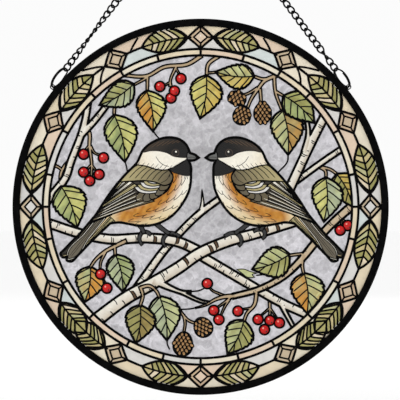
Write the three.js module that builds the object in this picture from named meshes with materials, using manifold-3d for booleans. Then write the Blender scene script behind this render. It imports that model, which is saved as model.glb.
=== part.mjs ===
// A round stained glass panel that hangs from a chain. Millimetres, +Z up, the picture side faces -Y.
// The origin is the point in the top ring that rests on the hook. The panel hangs plumb below it.

import * as THREE from 'three';
import { ParametricGeometry } from 'three/addons/geometries/ParametricGeometry.js';
import { mergeVertices } from 'three/addons/utils/BufferGeometryUtils.js';
import Module from 'manifold-3d';

const wasm = await Module();
wasm.setup();

// Driving dimensions of the panel, in millimetres
const PANEL_RADIUS = 152.5;
const HANG_DROP = 265; // from the hook's point down to the panel's centre
const FRAME_BAND = 6; // width of the frame, seen from the front
const FRAME_DEPTH = 7;
const FRAME_BEVEL = 0.9;
const GLASS_THICKNESS = 3;
const GROOVE_DEPTH = 4;
const FIT_GAP = 0.3; // clearance between pieces that meet
const SEAM_WIDTH = 1.8;
const SEAM_RISE = 0.7; // how far a seam stands above the glass

// The bands of glass inside the frame: the border, then a ring of narrow tiles around the picture
const BORDER_WIDTH = 17.6; // from the frame's inner edge to the edge of the first seam inside it
const TILE_RING_WIDTH = 5.2; // from the middle of one seam to the middle of the other
const ROUND_SIDES = 44; // of the frame
const RING_SIDES = 36; // of the rings inside it

// The border of diamonds and leaves
const DIAMOND_COUNT = 12;
const DIAMOND_RADIAL = 9.2; // half of the diamond's height across the border
const DIAMOND_TANGENTIAL = 10.4; // half of its width along the border
const BORDER_LEAF_HALF_WIDTH = 7.3;
// Where a border leaf's edge turns, in shares of its half length and half width from its middle
const BORDER_LEAF_TURNS = [[0.36, 0.84], [-0.5, 0.92]];
// The border leaves of the right half: the diamond that a leaf's point touches, counted from the top,
// the way it lies from there, 1 for onward, and its length. The left half mirrors them.
const BORDER_LEAVES = [
  { diamond: 0, way: 1, length: 38.4 },
  { diamond: 2, way: -1, length: 39.6 },
  { diamond: 3, way: -1, length: 41.5 },
  { diamond: 3, way: 1, length: 41.3 },
  { diamond: 4, way: 1, length: 30.4 },
  { diamond: 5, way: -1, length: 30.4 },
  { diamond: 6, way: -1, length: 38.1 },
];

// The picture, in shares of its radius: x to the right and y up from its centre. Both birds have
// the same outline, one the mirror of the other about a line a little right of the centre.
const BIRD_MIRROR = 0.011;
const BIRD_OUTLINE = [
  [-0.013, 0.326], [-0.07, 0.358], [-0.1, 0.418], [-0.204, 0.462], [-0.305, 0.438], [-0.376, 0.384],
  [-0.427, 0.283], [-0.584, 0.117], [-0.74, -0.107], [-0.903, -0.315], [-0.855, -0.362],
  [-0.602, -0.109], [-0.394, -0.127], [-0.287, -0.113], [-0.186, -0.056], [-0.1, 0.05],
  [-0.067, 0.17], [-0.079, 0.307],
];
const BIRD_CAP = [[-0.376, 0.384], [-0.29, 0.378], [-0.22, 0.358], [-0.17, 0.34], [-0.07, 0.34]];
const BIRD_BIB = [
  [-0.427, 0.283], [-0.36, 0.27], [-0.3, 0.25], [-0.2, 0.24], [-0.12, 0.305], [-0.075, 0.32],
];
const BIRD_WING = [
  [-0.2, 0.24], [-0.19, 0.17], [-0.2, 0.11], [-0.26, 0.05], [-0.35, 0.01], [-0.52, -0.04], [-0.64, -0.09],
  [-0.74, -0.107],
];
// Each birch leaf: where its stem ends, where its point lies, and half its width
const LEAVES = [
  { foot: [-0.445, 0.817], tip: [-0.674, 0.677], half: 0.095 },
  { foot: [-0.359, 0.774], tip: [-0.317, 0.502], half: 0.097 },
  { foot: [-0.576, 0.613], tip: [-0.504, 0.298], half: 0.107 },
  { foot: [0.039, 0.876], tip: [-0.004, 0.588], half: 0.107 },
  { foot: [0.357, 0.868], tip: [0.098, 0.898], half: 0.083 },
  { foot: [0.552, 0.74], tip: [0.757, 0.558], half: 0.093 },
  { foot: [0.544, 0.647], tip: [0.582, 0.345], half: 0.103 },
  { foot: [0.833, 0.197], tip: [0.82, -0.099], half: 0.1 },
  { foot: [-0.929, 0.137], tip: [-0.822, -0.137], half: 0.1 },
  { foot: [-0.733, -0.396], tip: [-0.771, -0.634], half: 0.093 },
  { foot: [-0.568, -0.316], tip: [-0.517, -0.566], half: 0.085 },
  { foot: [-0.402, -0.652], tip: [-0.432, -0.907], half: 0.097 },
  { foot: [-0.274, -0.592], tip: [-0.224, -0.889], half: 0.1 },
  { foot: [0.586, -0.324], tip: [0.327, -0.414], half: 0.07 },
  { foot: [0.689, -0.439], tip: [0.709, -0.711], half: 0.107 },
  { foot: [0.289, -0.753], tip: [0.179, -0.987], half: 0.093 },
];
const LEAF_SWELL = [0.16, 0.62]; // places along a leaf where its outline turns
const LEAF_PROFILE = [0.9, 0.8]; // its half width there
// Each branch of the birch: its width and its course
const BRANCHES = [
  {
    width: 0.08,
    course: [[-0.665, -0.737], [-0.487, -0.602], [-0.147, -0.405], [0.166, -0.235], [0.589, -0.108]],
  },
  { width: 0.062, course: [[-0.97, -0.115], [-0.617, -0.218], [-0.357, -0.208], [-0.011, -0.295]] },
  { width: 0.042, course: [[-0.377, -0.48], [-0.24, -0.288], [-0.011, -0.048], [0.12, 0.049]] },
  { width: 0.058, course: [[0.036, -0.335], [0.336, -0.534], [0.709, -0.711]] },
  { width: 0.053, course: [[-0.91, 0.145], [-0.793, 0.485], [-0.757, 0.672]] },
  { width: 0.055, course: [[0.811, 0.587], [0.607, 0.153]] },
  { width: 0.045, course: [[0.98, -0.006], [0.829, -0.158], [0.702, -0.321], [0.396, -0.548]] },
];
// Twigs that carry the leaves and join them to what is near
const TWIGS = [
  [[-0.445, 0.817], [-0.359, 0.774], [-0.24, 0.925]],
  [[-0.317, 0.502], [-0.25, 0.45]],
  [[-0.576, 0.613], [-0.6, 0.7]],
  [[-0.004, 0.588], [0.3, 0.66], [0.357, 0.868], [0.5, 0.87]],
  [[0.552, 0.74], [0.357, 0.868]],
  [[0.357, 0.868], [0.039, 0.876]],
  [[0.544, 0.647], [0.552, 0.74]],
  [[0.582, 0.345], [0.6, 0.2]],
  [[0.833, 0.197], [1, 0.1]],
];

// The chain, its split rings and the top ring
const LUG_ANGLE = 51; // degrees from the top
const LUG_REACH = 2.2; // from the frame's edge out to the middle of the lug's hole
const LUG_THICKNESS = 1.6;
const LUG_WALL = 0.8;
const LUG_PLAY = 0.55; // clearance around the split ring's wire in the lug's hole
const LUG_SIDES = 10;
const SPLIT_RING_RADIUS = 9.2; // to the middle of its wire
const SPLIT_RING_TILT = 15; // degrees out of the view that shows it edge-on
const SPLIT_WIRE_WIDTH = 1.4; // two turns of wire side by side
const SPLIT_WIRE_HEIGHT = 0.8;
const TOP_RING_RADIUS = 8; // to the middle of its wire
const TOP_RING_WIRE = 2;
const TOP_WIRE_SIDES = 6;
const HANGER_SIDES = 16; // of the split rings and the top ring
const CHAIN_WIRE = 1.1;
const LINK_HALF_WIDTH = 2.3; // to the middle of the wire
const LINK_PITCH = 5.85; // wanted, and rounded so that whole links fill the run
const LINK_STEPS = 6;
const LINK_WIRE_SIDES = 3;
const LINK_WIRE_CORNER = 0.6; // from the wire's middle to a corner of its section, in wire diameters
const LINK_OVERLAP = 0.15; // how deep one link's wire sits in the next one's
const RING_SEAT = 0.6; // a split ring's wide wire bears on the sides of a link, this share of it up
const LINK_CURL = 45; // degrees that each end of a curb link turns out of its plane
const CHAIN_HALF_TURNS = 2; // slow twist of a run from end to end

const BLACK = 0x0b0b0c;
const frameMetal = new THREE.MeshStandardMaterial({ color: BLACK, roughness: 0.45, metalness: 0.9 });
const seamMetal = new THREE.MeshStandardMaterial({ color: 0x101011, roughness: 0.5, metalness: 0.8 });
const chainMetal = new THREE.MeshStandardMaterial({ color: 0x161616, roughness: 0.4, metalness: 0.9 });
const creamGlass = new THREE.MeshStandardMaterial({ color: 0xecdcc2, roughness: 0.25, metalness: 0 });
const peachGlass = new THREE.MeshStandardMaterial({ color: 0xe0cba6, roughness: 0.25, metalness: 0 });
const lilacGlass = new THREE.MeshStandardMaterial({ color: 0xc6c4cb, roughness: 0.3, metalness: 0 });
const birdGlass = new THREE.MeshStandardMaterial({ color: 0xb9925a, roughness: 0.25, metalness: 0 });

// Lengths that follow from the driving dimensions
const CENTRE_Z = -HANG_DROP;
const FRAME_INNER = PANEL_RADIUS - FRAME_BAND;
const GLASS_BACK = GLASS_THICKNESS / 2;
const GLASS_FRONT = -GLASS_BACK;
const SEAM_FRONT = GLASS_FRONT - SEAM_RISE;
const SEAM_BACK = GLASS_BACK + SEAM_RISE;
const HALF_SEAM = SEAM_WIDTH / 2;
const THROUGH_SEAM = HALF_SEAM + FIT_GAP; // from the middle of a through seam to the glass beside it
const BORDER_INNER = FRAME_INNER - BORDER_WIDTH;
const TILE_RING_OUTER = BORDER_INNER - HALF_SEAM; // radius of the seam outside the tiles
const TILE_RING_INNER = TILE_RING_OUTER - TILE_RING_WIDTH; // radius of the seam inside them
const PICTURE_RADIUS = TILE_RING_INNER - HALF_SEAM;
const BORDER_MIDDLE = (BORDER_INNER + FRAME_INNER) / 2;
const WIRE_CORNER = LINK_WIRE_CORNER * CHAIN_WIRE;
const LUG_HOLE = Math.hypot(SPLIT_WIRE_WIDTH, SPLIT_WIRE_HEIGHT) / 2 + LUG_PLAY;
const LUG_RADIUS = PANEL_RADIUS + LUG_REACH; // from the panel's centre to the middle of a lug's hole

const MERGE_DISTANCE = 1e-4; // corners nearer than this are one corner
const MITRE_REACH = 2; // the longest mitre of a sharp corner, in shares of the distance moved

const degrees = THREE.MathUtils.degToRad;

// A point of the panel's plane at an angle from the top, clockwise as seen from the front
function polar(radius, angle) {
  return new THREE.Vector2(radius * Math.sin(angle), radius * Math.cos(angle));
}

// A point of the border: along it from a station's angle, and out from the middle of the band
function inBorder(station, along, out) {
  return polar(BORDER_MIDDLE + out, station + along / BORDER_MIDDLE);
}

// The angles of the diamonds around the border
const STATIONS = Array.from({ length: DIAMOND_COUNT }, (_, i) => (2 * Math.PI * i) / DIAMOND_COUNT);

function circle(radius, sides = RING_SIDES) {
  return Array.from({ length: sides }, (_, i) => polar(radius, (-2 * Math.PI * i) / sides));
}

function toSolid(geometry) {
  const bare = geometry.clone();
  bare.deleteAttribute('normal');
  bare.deleteAttribute('uv');
  const merged = mergeVertices(bare, MERGE_DISTANCE);
  const vertProperties = new Float32Array(merged.attributes.position.array);
  const triVerts = new Uint32Array(merged.index.array);
  return new wasm.Manifold(new wasm.Mesh({ numProp: 3, vertProperties, triVerts }));
}

function toGeometry(solid) {
  const { vertProperties, triVerts } = solid.getMesh();
  const geometry = new THREE.BufferGeometry();
  geometry.setAttribute('position', new THREE.BufferAttribute(vertProperties, 3));
  geometry.setIndex(new THREE.BufferAttribute(triVerts, 1));
  geometry.computeVertexNormals();
  return geometry;
}

// Joins neighbours in pairs, so that each boolean stays small
function join(solids) {
  let rest = solids;
  while (rest.length > 1) {
    const next = [];
    for (let i = 0; i < rest.length; i += 2) {
      next.push(i + 1 < rest.length ? rest[i].add(rest[i + 1]) : rest[i]);
    }
    rest = next;
  }
  return rest[0];
}

function anticlockwise(points) {
  return THREE.ShapeUtils.area(points) > 0 ? points : [...points].reverse();
}

// A flat outline of the panel's plane, given depth from one y to another
function slab(outline, holes, front, back) {
  const shape = new THREE.Shape(anticlockwise(outline));
  shape.holes = holes.map((points) => new THREE.Path(anticlockwise(points).reverse()));
  const geometry = new THREE.ExtrudeGeometry(shape, { depth: back - front, bevelEnabled: false });
  geometry.rotateX(Math.PI / 2);
  geometry.translate(0, back, CENTRE_Z);
  return toSolid(geometry);
}

// A line moved sideways by a distance, with its corners mitred
function beside(points, distance, closed) {
  const count = points.length;
  return points.map((point, i) => {
    const before = closed || i > 0 ? points[(i + count - 1) % count] : null;
    const after = closed || i < count - 1 ? points[(i + 1) % count] : null;
    const first = (before ? point.clone().sub(before) : after.clone().sub(point)).normalize();
    const second = (after ? after.clone().sub(point) : point.clone().sub(before)).normalize();
    const middle = first.clone().add(second).normalize();
    const reach = distance / Math.max(middle.dot(first), 1 / MITRE_REACH);
    return point.clone().add(new THREE.Vector2(-middle.y, middle.x).multiplyScalar(reach));
  });
}

// A seam of a given width along a line
function seam(points, closed, front = SEAM_FRONT, back = GLASS_FRONT) {
  const left = beside(points, HALF_SEAM, closed);
  const right = beside(points, -HALF_SEAM, closed);
  if (!closed) {
    return slab([...right, ...left.reverse()], [], front, back);
  }
  const area = Math.abs(THREE.ShapeUtils.area(left)) - Math.abs(THREE.ShapeUtils.area(right));
  return area > 0 ? slab(left, [right], front, back) : slab(right, [left], front, back);
}

// A closed profile of [radius, y] points turned about the panel's own direction
function turned(profile, sides) {
  const points = [...profile, profile[0]].map(([r, y]) => new THREE.Vector2(r, y));
  return new THREE.LatheGeometry(points, sides);
}

// Frame: a channel bent into a circle, with a lug on each shoulder for the split rings
function frameSolid() {
  const half = FRAME_DEPTH / 2;
  const slot = GLASS_BACK + FIT_GAP;
  const floor = FRAME_INNER + GROOVE_DEPTH;
  const channel = turned(
    [
      [FRAME_INNER, -half],
      [PANEL_RADIUS - FRAME_BEVEL, -half],
      [PANEL_RADIUS, FRAME_BEVEL - half],
      [PANEL_RADIUS, half - FRAME_BEVEL],
      [PANEL_RADIUS - FRAME_BEVEL, half],
      [FRAME_INNER, half],
      [FRAME_INNER, slot],
      [floor, slot],
      [floor, -slot],
      [FRAME_INNER, -slot],
    ],
    ROUND_SIDES,
  );
  channel.translate(0, 0, CENTRE_Z);
  return join([toSolid(channel), lug(-1), lug(1)]);
}

function lugCentre(side) {
  return polar(LUG_RADIUS, side * degrees(LUG_ANGLE));
}

// A tab from the frame's edge, round at its end, with a hole along y
function lug(side) {
  const radius = LUG_HOLE + LUG_WALL;
  const angle = side * degrees(LUG_ANGLE);
  const centre = lugCentre(side);
  const outward = polar(1, angle);
  const along = new THREE.Vector2(outward.y, -outward.x);
  const end = Array.from({ length: LUG_SIDES / 2 + 1 }, (_, i) => {
    const turn = (2 * Math.PI * i) / LUG_SIDES;
    const point = centre.clone().addScaledVector(along, radius * Math.cos(turn));
    return point.addScaledVector(outward, radius * Math.sin(turn));
  });
  const root = [-1, 1].map((way) =>
    polar(PANEL_RADIUS - FRAME_BEVEL, angle).addScaledVector(along, way * radius),
  );
  const hole = Array.from({ length: LUG_SIDES }, (_, i) => {
    const turn = (2 * Math.PI * i) / LUG_SIDES;
    return centre.clone().add(polar(LUG_HOLE, turn));
  });
  return slab([...end, ...root], [hole], -LUG_THICKNESS / 2, LUG_THICKNESS / 2);
}

// Hangers: everything from a lug up to the top ring lies along one line
const TOP_CENTRE = new THREE.Vector3(0, 0, -(TOP_RING_RADIUS - TOP_RING_WIRE / 2));

function runLine(side) {
  const hole = lugCentre(side);
  const low = new THREE.Vector3(hole.x, 0, hole.y + CENTRE_Z);
  const up = TOP_CENTRE.clone().sub(low);
  const length = up.length();
  const along = up.normalize();
  const outward = new THREE.Vector3(side * along.z, 0, -side * along.x);
  return { low, length, along, outward };
}

// Places a geometry made about the y axis so that its y axis points along a given direction
function aimed(geometry, direction, centre) {
  const turn = new THREE.Quaternion().setFromUnitVectors(new THREE.Vector3(0, 1, 0), direction);
  geometry.applyQuaternion(turn);
  geometry.translate(centre.x, centre.y, centre.z);
  return geometry;
}

function splitRing(side) {
  const { low, along, outward } = runLine(side);
  const axis = outward.clone().applyAxisAngle(along, side * degrees(SPLIT_RING_TILT));
  const width = SPLIT_WIRE_WIDTH / 2;
  const height = SPLIT_WIRE_HEIGHT / 2;
  const inner = SPLIT_RING_RADIUS - height;
  const outer = SPLIT_RING_RADIUS + height;
  const profile = [
    [inner, -width],
    [outer, -width],
    [outer + height / 2, 0],
    [outer, width],
    [inner, width],
  ];
  const centre = low.clone().addScaledVector(along, SPLIT_RING_RADIUS);
  return toSolid(aimed(turned(profile, HANGER_SIDES), axis, centre));
}

function topRing() {
  const half = TOP_RING_WIRE / 2;
  const profile = Array.from({ length: TOP_WIRE_SIDES }, (_, i) => {
    const turn = (2 * Math.PI * i) / TOP_WIRE_SIDES;
    return [TOP_RING_RADIUS - half * Math.cos(turn), half * Math.sin(turn)];
  });
  const ring = turned(profile.reverse(), HANGER_SIDES);
  ring.translate(TOP_CENTRE.x, TOP_CENTRE.y, TOP_CENTRE.z);
  return toSolid(ring);
}

// One curb link: an oval of wire whose two ends turn out of its plane, each its own way.
// The wire's section has a corner inward, and a straight step at each end, where the next link bears.
function link(halfLength, centre, along, side, flat) {
  const curl = degrees(LINK_CURL);
  const surface = (u, v, target) => {
    const t = 2 * Math.PI * (u + 0.5 / LINK_STEPS);
    const w = 2 * Math.PI * v + Math.PI;
    const across = side.clone().applyAxisAngle(along, flat + curl * Math.cos(t));
    const through = new THREE.Vector3().crossVectors(along, across);
    const normal = along.clone().multiplyScalar(Math.cos(t)).addScaledVector(across, Math.sin(t));
    target
      .copy(centre)
      .addScaledVector(along, (halfLength * Math.cos(t)) / Math.cos(Math.PI / LINK_STEPS))
      .addScaledVector(across, LINK_HALF_WIDTH * Math.sin(t))
      .addScaledVector(normal, WIRE_CORNER * Math.cos(w))
      .addScaledVector(through, WIRE_CORNER * Math.sin(w));
  };
  return toSolid(new ParametricGeometry(surface, LINK_STEPS, LINK_WIRE_SIDES));
}

function chainRun(side) {
  const { low, length, along, outward } = runLine(side);
  const start = 2 * SPLIT_RING_RADIUS;
  const run = length - start - TOP_RING_RADIUS;
  const lowHold = SPLIT_WIRE_HEIGHT / 2 + WIRE_CORNER + SPLIT_WIRE_WIDTH * RING_SEAT;
  const highHold = TOP_RING_WIRE / 2 + FIT_GAP + WIRE_CORNER;
  const count = Math.round(run / LINK_PITCH);
  const bearing = 2 * WIRE_CORNER * Math.cos(Math.PI / LINK_STEPS) - LINK_OVERLAP;
  const pitch = (run + lowHold + highHold - bearing) / count;
  const halfLength = (pitch + bearing) / 2;
  const twist = (Math.PI * CHAIN_HALF_TURNS) / (count - 1);
  const links = Array.from({ length: count }, (_, i) => {
    const centre = low.clone().addScaledVector(along, start - lowHold + halfLength + i * pitch);
    return link(halfLength, centre, along, outward, degrees(LINK_CURL) + i * twist);
  });
  return join(links);
}

// Seams of the border
function tileRingSeams() {
  const rings = [TILE_RING_INNER, TILE_RING_OUTER].map((radius) =>
    seam(circle(radius), true, SEAM_FRONT, SEAM_BACK),
  );
  const bars = STATIONS.map((angle) =>
    seam([polar(TILE_RING_INNER, angle), polar(TILE_RING_OUTER, angle)], false),
  );
  return [...rings, ...bars];
}

function diamondSeam(station) {
  const corners = [[0, 1], [1, 0], [0, -1], [-1, 0]].map(([along, out]) =>
    inBorder(station, along * DIAMOND_TANGENTIAL, out * DIAMOND_RADIAL),
  );
  return seam(corners, true);
}

// A pointed leaf laid along the border, split by its rib
function borderLeafSeams({ diamond, way, length }, side) {
  const station = side * STATIONS[diamond];
  const half = length / 2;
  const middle = DIAMOND_TANGENTIAL + half;
  const at = (share, out) =>
    inBorder(station, side * way * (middle - share * half), out * BORDER_LEAF_HALF_WIDTH);
  const upper = BORDER_LEAF_TURNS.map(([share, out]) => at(share, out));
  const lower = BORDER_LEAF_TURNS.map(([share, out]) => at(share, -out)).reverse();
  return [seam([at(1, 0), ...upper, at(-1, 0), ...lower], true), seam([at(1, 0), at(-1, 0)], false)];
}

function borderSeams() {
  const diamonds = STATIONS.map(diamondSeam);
  const leaves = BORDER_LEAVES.flatMap((leaf) => [borderLeafSeams(leaf, 1), borderLeafSeams(leaf, -1)]);
  return [...diamonds, ...leaves].flat();
}

// Seams of the picture
function inPicture([x, y]) {
  return new THREE.Vector2(x * PICTURE_RADIUS, y * PICTURE_RADIUS);
}

function leafOutline({ foot, tip, half }) {
  const start = inPicture(foot);
  const end = inPicture(tip);
  const axis = end.clone().sub(start);
  const side = new THREE.Vector2(-axis.y, axis.x).normalize().multiplyScalar(half * PICTURE_RADIUS);
  const edge = (way) =>
    LEAF_SWELL.map((share, i) =>
      start.clone().addScaledVector(axis, share).addScaledVector(side, way * LEAF_PROFILE[i]),
    );
  return [start, ...edge(1), end, ...edge(-1).reverse()];
}

function branchOutline({ course, width }) {
  const points = course.map(inPicture);
  const half = (width * PICTURE_RADIUS) / 2;
  return [...beside(points, -half, false), ...beside(points, half, false).reverse()];
}

function birdLine(points, side) {
  return points.map(([x, y]) => inPicture([side < 0 ? x : 2 * BIRD_MIRROR - x, y]));
}

// Lays a figure over the net: its seam is added, and what ran behind it is cut away
function overlay(net, outline, back) {
  const line = anticlockwise(outline);
  const grown = slab(beside(line, -HALF_SEAM, true), [], SEAM_FRONT, back);
  const inside = slab(beside(line, HALF_SEAM, true), [], SEAM_FRONT, back);
  return net.add(grown).subtract(inside);
}

function pictureSeams() {
  let net = join(TWIGS.map((line) => seam(line.map(inPicture), false)));
  for (const outline of [...LEAVES.map(leafOutline), ...BRANCHES.map(branchOutline)]) {
    net = overlay(net, outline, GLASS_FRONT);
  }
  for (const side of [-1, 1]) {
    net = overlay(net, birdLine(BIRD_OUTLINE, side), SEAM_BACK);
  }
  const lines = [-1, 1].flatMap((side) =>
    [BIRD_CAP, BIRD_BIB, BIRD_WING].map((line) => seam(birdLine(line, side), false)),
  );
  const disc = slab(circle(TILE_RING_INNER), [], SEAM_FRONT, SEAM_BACK);
  return join([net, ...lines]).intersect(disc);
}

// All seams in one net, trimmed where it meets the frame
function seamNet() {
  const net = join([...tileRingSeams(), ...borderSeams(), pictureSeams()]);
  const room = slab(circle(FRAME_INNER - FIT_GAP, ROUND_SIDES), [], SEAM_FRONT, SEAM_BACK);
  return net.intersect(room);
}

// Glass: plates of tiles that meet edge to edge under their seams
function borderGlass() {
  const outline = circle(FRAME_INNER + GROOVE_DEPTH - FIT_GAP, ROUND_SIDES);
  return slab(outline, [circle(TILE_RING_OUTER + THROUGH_SEAM)], GLASS_FRONT, GLASS_BACK);
}

function tileRingGlass() {
  const outline = circle(TILE_RING_OUTER - THROUGH_SEAM);
  return slab(outline, [circle(TILE_RING_INNER + THROUGH_SEAM)], GLASS_FRONT, GLASS_BACK);
}

function backgroundGlass() {
  const disc = slab(circle(PICTURE_RADIUS - FIT_GAP), [], GLASS_FRONT, GLASS_BACK);
  const room = [-1, 1].map((side) => {
    const outline = anticlockwise(birdLine(BIRD_OUTLINE, side));
    return slab(beside(outline, -THROUGH_SEAM, true), [], SEAM_FRONT, SEAM_BACK);
  });
  return disc.subtract(join(room));
}

function birdGlassSolid(side) {
  const outline = anticlockwise(birdLine(BIRD_OUTLINE, side));
  return slab(beside(outline, THROUGH_SEAM, true), [], GLASS_FRONT, GLASS_BACK);
}

const group = new THREE.Group();

function add(name, solid, material) {
  const mesh = new THREE.Mesh(toGeometry(solid), material);
  mesh.name = name;
  group.add(mesh);
}

add('outer_frame', frameSolid(), frameMetal);
add('seam_net', seamNet(), seamMetal);
add('border_glass', borderGlass(), creamGlass);
add('tile_ring_glass', tileRingGlass(), peachGlass);
add('background_glass', backgroundGlass(), lilacGlass);
add('left_bird_glass', birdGlassSolid(-1), birdGlass);
add('right_bird_glass', birdGlassSolid(1), birdGlass);
add('left_split_ring', splitRing(-1), chainMetal);
add('right_split_ring', splitRing(1), chainMetal);
add('left_chain', chainRun(-1), chainMetal);
add('right_chain', chainRun(1), chainMetal);
add('top_ring', topRing(), chainMetal);

export default group;
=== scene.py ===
import math
from dataclasses import dataclass
from random import Random

import bpy
import numpy as np
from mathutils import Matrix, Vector
from mathutils.geometry import delaunay_2d_cdt


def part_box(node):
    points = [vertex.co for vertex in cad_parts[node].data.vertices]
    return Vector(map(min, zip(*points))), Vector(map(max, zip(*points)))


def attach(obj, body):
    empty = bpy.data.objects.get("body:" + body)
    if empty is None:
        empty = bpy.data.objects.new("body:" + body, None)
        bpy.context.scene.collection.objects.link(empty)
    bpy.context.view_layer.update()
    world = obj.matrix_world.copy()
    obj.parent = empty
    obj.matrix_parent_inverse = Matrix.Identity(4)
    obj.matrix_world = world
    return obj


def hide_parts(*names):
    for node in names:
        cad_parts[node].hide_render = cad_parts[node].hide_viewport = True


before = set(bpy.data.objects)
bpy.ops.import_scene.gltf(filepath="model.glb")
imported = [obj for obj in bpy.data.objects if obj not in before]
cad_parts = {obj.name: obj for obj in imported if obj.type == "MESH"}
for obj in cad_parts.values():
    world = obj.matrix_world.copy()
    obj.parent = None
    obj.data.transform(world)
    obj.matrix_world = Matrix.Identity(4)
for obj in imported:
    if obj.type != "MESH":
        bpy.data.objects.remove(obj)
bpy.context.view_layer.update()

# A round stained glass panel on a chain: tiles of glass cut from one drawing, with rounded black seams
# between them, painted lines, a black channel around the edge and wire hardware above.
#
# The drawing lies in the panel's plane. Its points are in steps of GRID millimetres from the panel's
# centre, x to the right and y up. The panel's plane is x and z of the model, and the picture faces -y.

MM = 0.001
GRID = 0.812
RNG = Random(7)

# Sizes that the frame gives, in millimetres
frame_low, frame_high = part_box("outer_frame")
_, glass_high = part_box("background_glass")
_, seam_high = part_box("seam_net")
_, border_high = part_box("border_glass")
ring_low, ring_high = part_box("top_ring")
PANEL_RADIUS = (frame_high.x - frame_low.x) / 2 / MM
CENTRE_Z = frame_low.z / MM + PANEL_RADIUS
FRAME_HALF_DEPTH = frame_high.y / MM
GLASS_HALF = glass_high.y / MM
SEAM_RISE = seam_high.y / MM - GLASS_HALF
BORDER_GLASS_RADIUS = border_high.x / MM

# Sizes of the panel's own, in millimetres
FRAME_BAND = 6
FRAME_ROUNDING = 1.3
FRAME_INNER = PANEL_RADIUS - FRAME_BAND
FIT_GAP = 0.3
SEAM_WIDTH = 1.8
BORDER_WIDTH = 17.6
TILE_RING_WIDTH = 5.2
BORDER_INNER = FRAME_INNER - BORDER_WIDTH
TILE_RING_OUTER = BORDER_INNER - SEAM_WIDTH / 2
TILE_RING_INNER = TILE_RING_OUTER - TILE_RING_WIDTH
BORDER_MIDDLE = (BORDER_INNER + FRAME_INNER) / 2
GLASS_INSET = 0.25  # from a seam's middle to the edge of the glass under it
SPACING = 1.3  # between the points of a curve
RIPPLE_SPACING = 2.6  # between the points that carry the background's ripples
RIPPLE_RISE = 0.16
FIELD_SHIFT = (0.11, 0.07)  # keeps those points off the drawing's axes
PAINT = 0.07  # thickness of a painted line

# Half widths of lines, in millimetres
LINE = SEAM_WIDTH / 2 + 0.1
BIRD_LINE = 1.08
LEAF_LINE = 0.98
BRANCH_LINE = 1.04
TWIG_LINE = 0.65
BERRY_LINE = 0.92
RIB_LINE = 0.56
BORDER_VEIN_LINE = 0.72
VEIN_PAINT = 0.72


def colour(red, green, blue):
    """A colour as seen on screen, turned into the linear values that shaders use."""
    return tuple(v / 12.92 if v <= 0.04045 else ((v + 0.055) / 1.055) ** 2.4 for v in (red, green, blue))


CREAM = colour(0.97, 0.93, 0.84)
WARM_CREAM = colour(0.95, 0.89, 0.77)
PEACH = colour(0.94, 0.85, 0.75)
BEIGE = colour(0.84, 0.76, 0.64)
DIAMOND_EDGE = colour(0.86, 0.75, 0.62)
TAN = colour(0.80, 0.69, 0.55)
PALE_BLUE = colour(0.87, 0.90, 0.89)
PALE_GREY = colour(0.91, 0.90, 0.88)
OLIVE = colour(0.70, 0.69, 0.40)
OLIVE_BROWN = colour(0.66, 0.58, 0.32)
DARK_OLIVE = colour(0.66, 0.64, 0.38)
KHAKI = colour(0.84, 0.78, 0.57)
BORDER_SAGE = colour(0.80, 0.79, 0.59)
BORDER_OLIVE = colour(0.72, 0.69, 0.44)
LIGHT_GREEN = colour(0.81, 0.83, 0.60)
YELLOW_GREEN = colour(0.87, 0.86, 0.52)
GREEN = colour(0.68, 0.73, 0.48)
GREY_GREEN = colour(0.76, 0.80, 0.65)
AMBER = colour(0.88, 0.62, 0.24)
GOLD = colour(0.87, 0.76, 0.38)
RUSSET = colour(0.78, 0.61, 0.32)
LILAC_PALE = colour(0.875, 0.865, 0.885)
LILAC_DARK = colour(0.74, 0.735, 0.745)
BIRCH = colour(0.98, 0.96, 0.91)
BIRCH_SHADE = colour(0.76, 0.68, 0.57)
TWIG_BROWN = colour(0.77, 0.67, 0.53)
BERRY_RED = colour(0.84, 0.09, 0.08)
BERRY_PAINTED_GLINT = colour(0.97, 0.62, 0.56)
CONE_BROWN = colour(0.42, 0.30, 0.18)
CONE_HIGHLIGHT = colour(0.80, 0.62, 0.40)
DARK = colour(0.10, 0.09, 0.08)
CAP_BLACK = colour(0.06, 0.055, 0.05)
CAP_BROWN = colour(0.27, 0.23, 0.19)
CHEEK = colour(0.99, 0.97, 0.91)
BELLY = colour(0.91, 0.82, 0.63)
FLANK = colour(0.70, 0.42, 0.08)
FLANK_PALE = colour(0.86, 0.63, 0.26)
BACK_KHAKI = colour(0.74, 0.69, 0.50)
BACK_DARK = colour(0.40, 0.36, 0.27)
WING_DARK = colour(0.20, 0.18, 0.15)
WING_GREY = colour(0.40, 0.37, 0.30)
TAIL_GREY = colour(0.42, 0.39, 0.33)
BEAK_GREY = colour(0.42, 0.42, 0.41)
LEG_GREY = colour(0.20, 0.20, 0.20)
BLACK, BROWN, WHITE = "black_paint", "brown_paint", "cream_paint"  # the paints


# Points and curves of the drawing

def polar(radius, angle):
    """A point at an angle from the top, clockwise as seen from the front."""
    return np.array([radius * math.sin(angle), radius * math.cos(angle)])


def full_turn(count):
    """The angles of a whole turn, in even steps."""
    return [2 * math.pi * k / count for k in range(count)]


def circle(radius, centre=(0, 0), spacing=SPACING):
    sides = max(12, round(2 * math.pi * radius / spacing))
    return np.array([polar(radius, -angle) for angle in full_turn(sides)]) + np.array(centre)


def tangents(spots, sharp, closed):
    """The direction into and out of each control point, worked out from its neighbours."""
    pairs = []
    for i, spot in enumerate(spots):
        into, out = spot - spots[i - 1], spots[(i + 1) % len(spots)] - spot
        near, far = np.hypot(*into), np.hypot(*out)
        into, out = into / near, out / far
        if not closed and i == 0:
            into = out
        elif not closed and i == len(spots) - 1:
            out = into
        elif not sharp[i]:
            into = out = (into * far + out * near) / (near + far)
        pairs.append((into, out))
    return pairs


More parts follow.
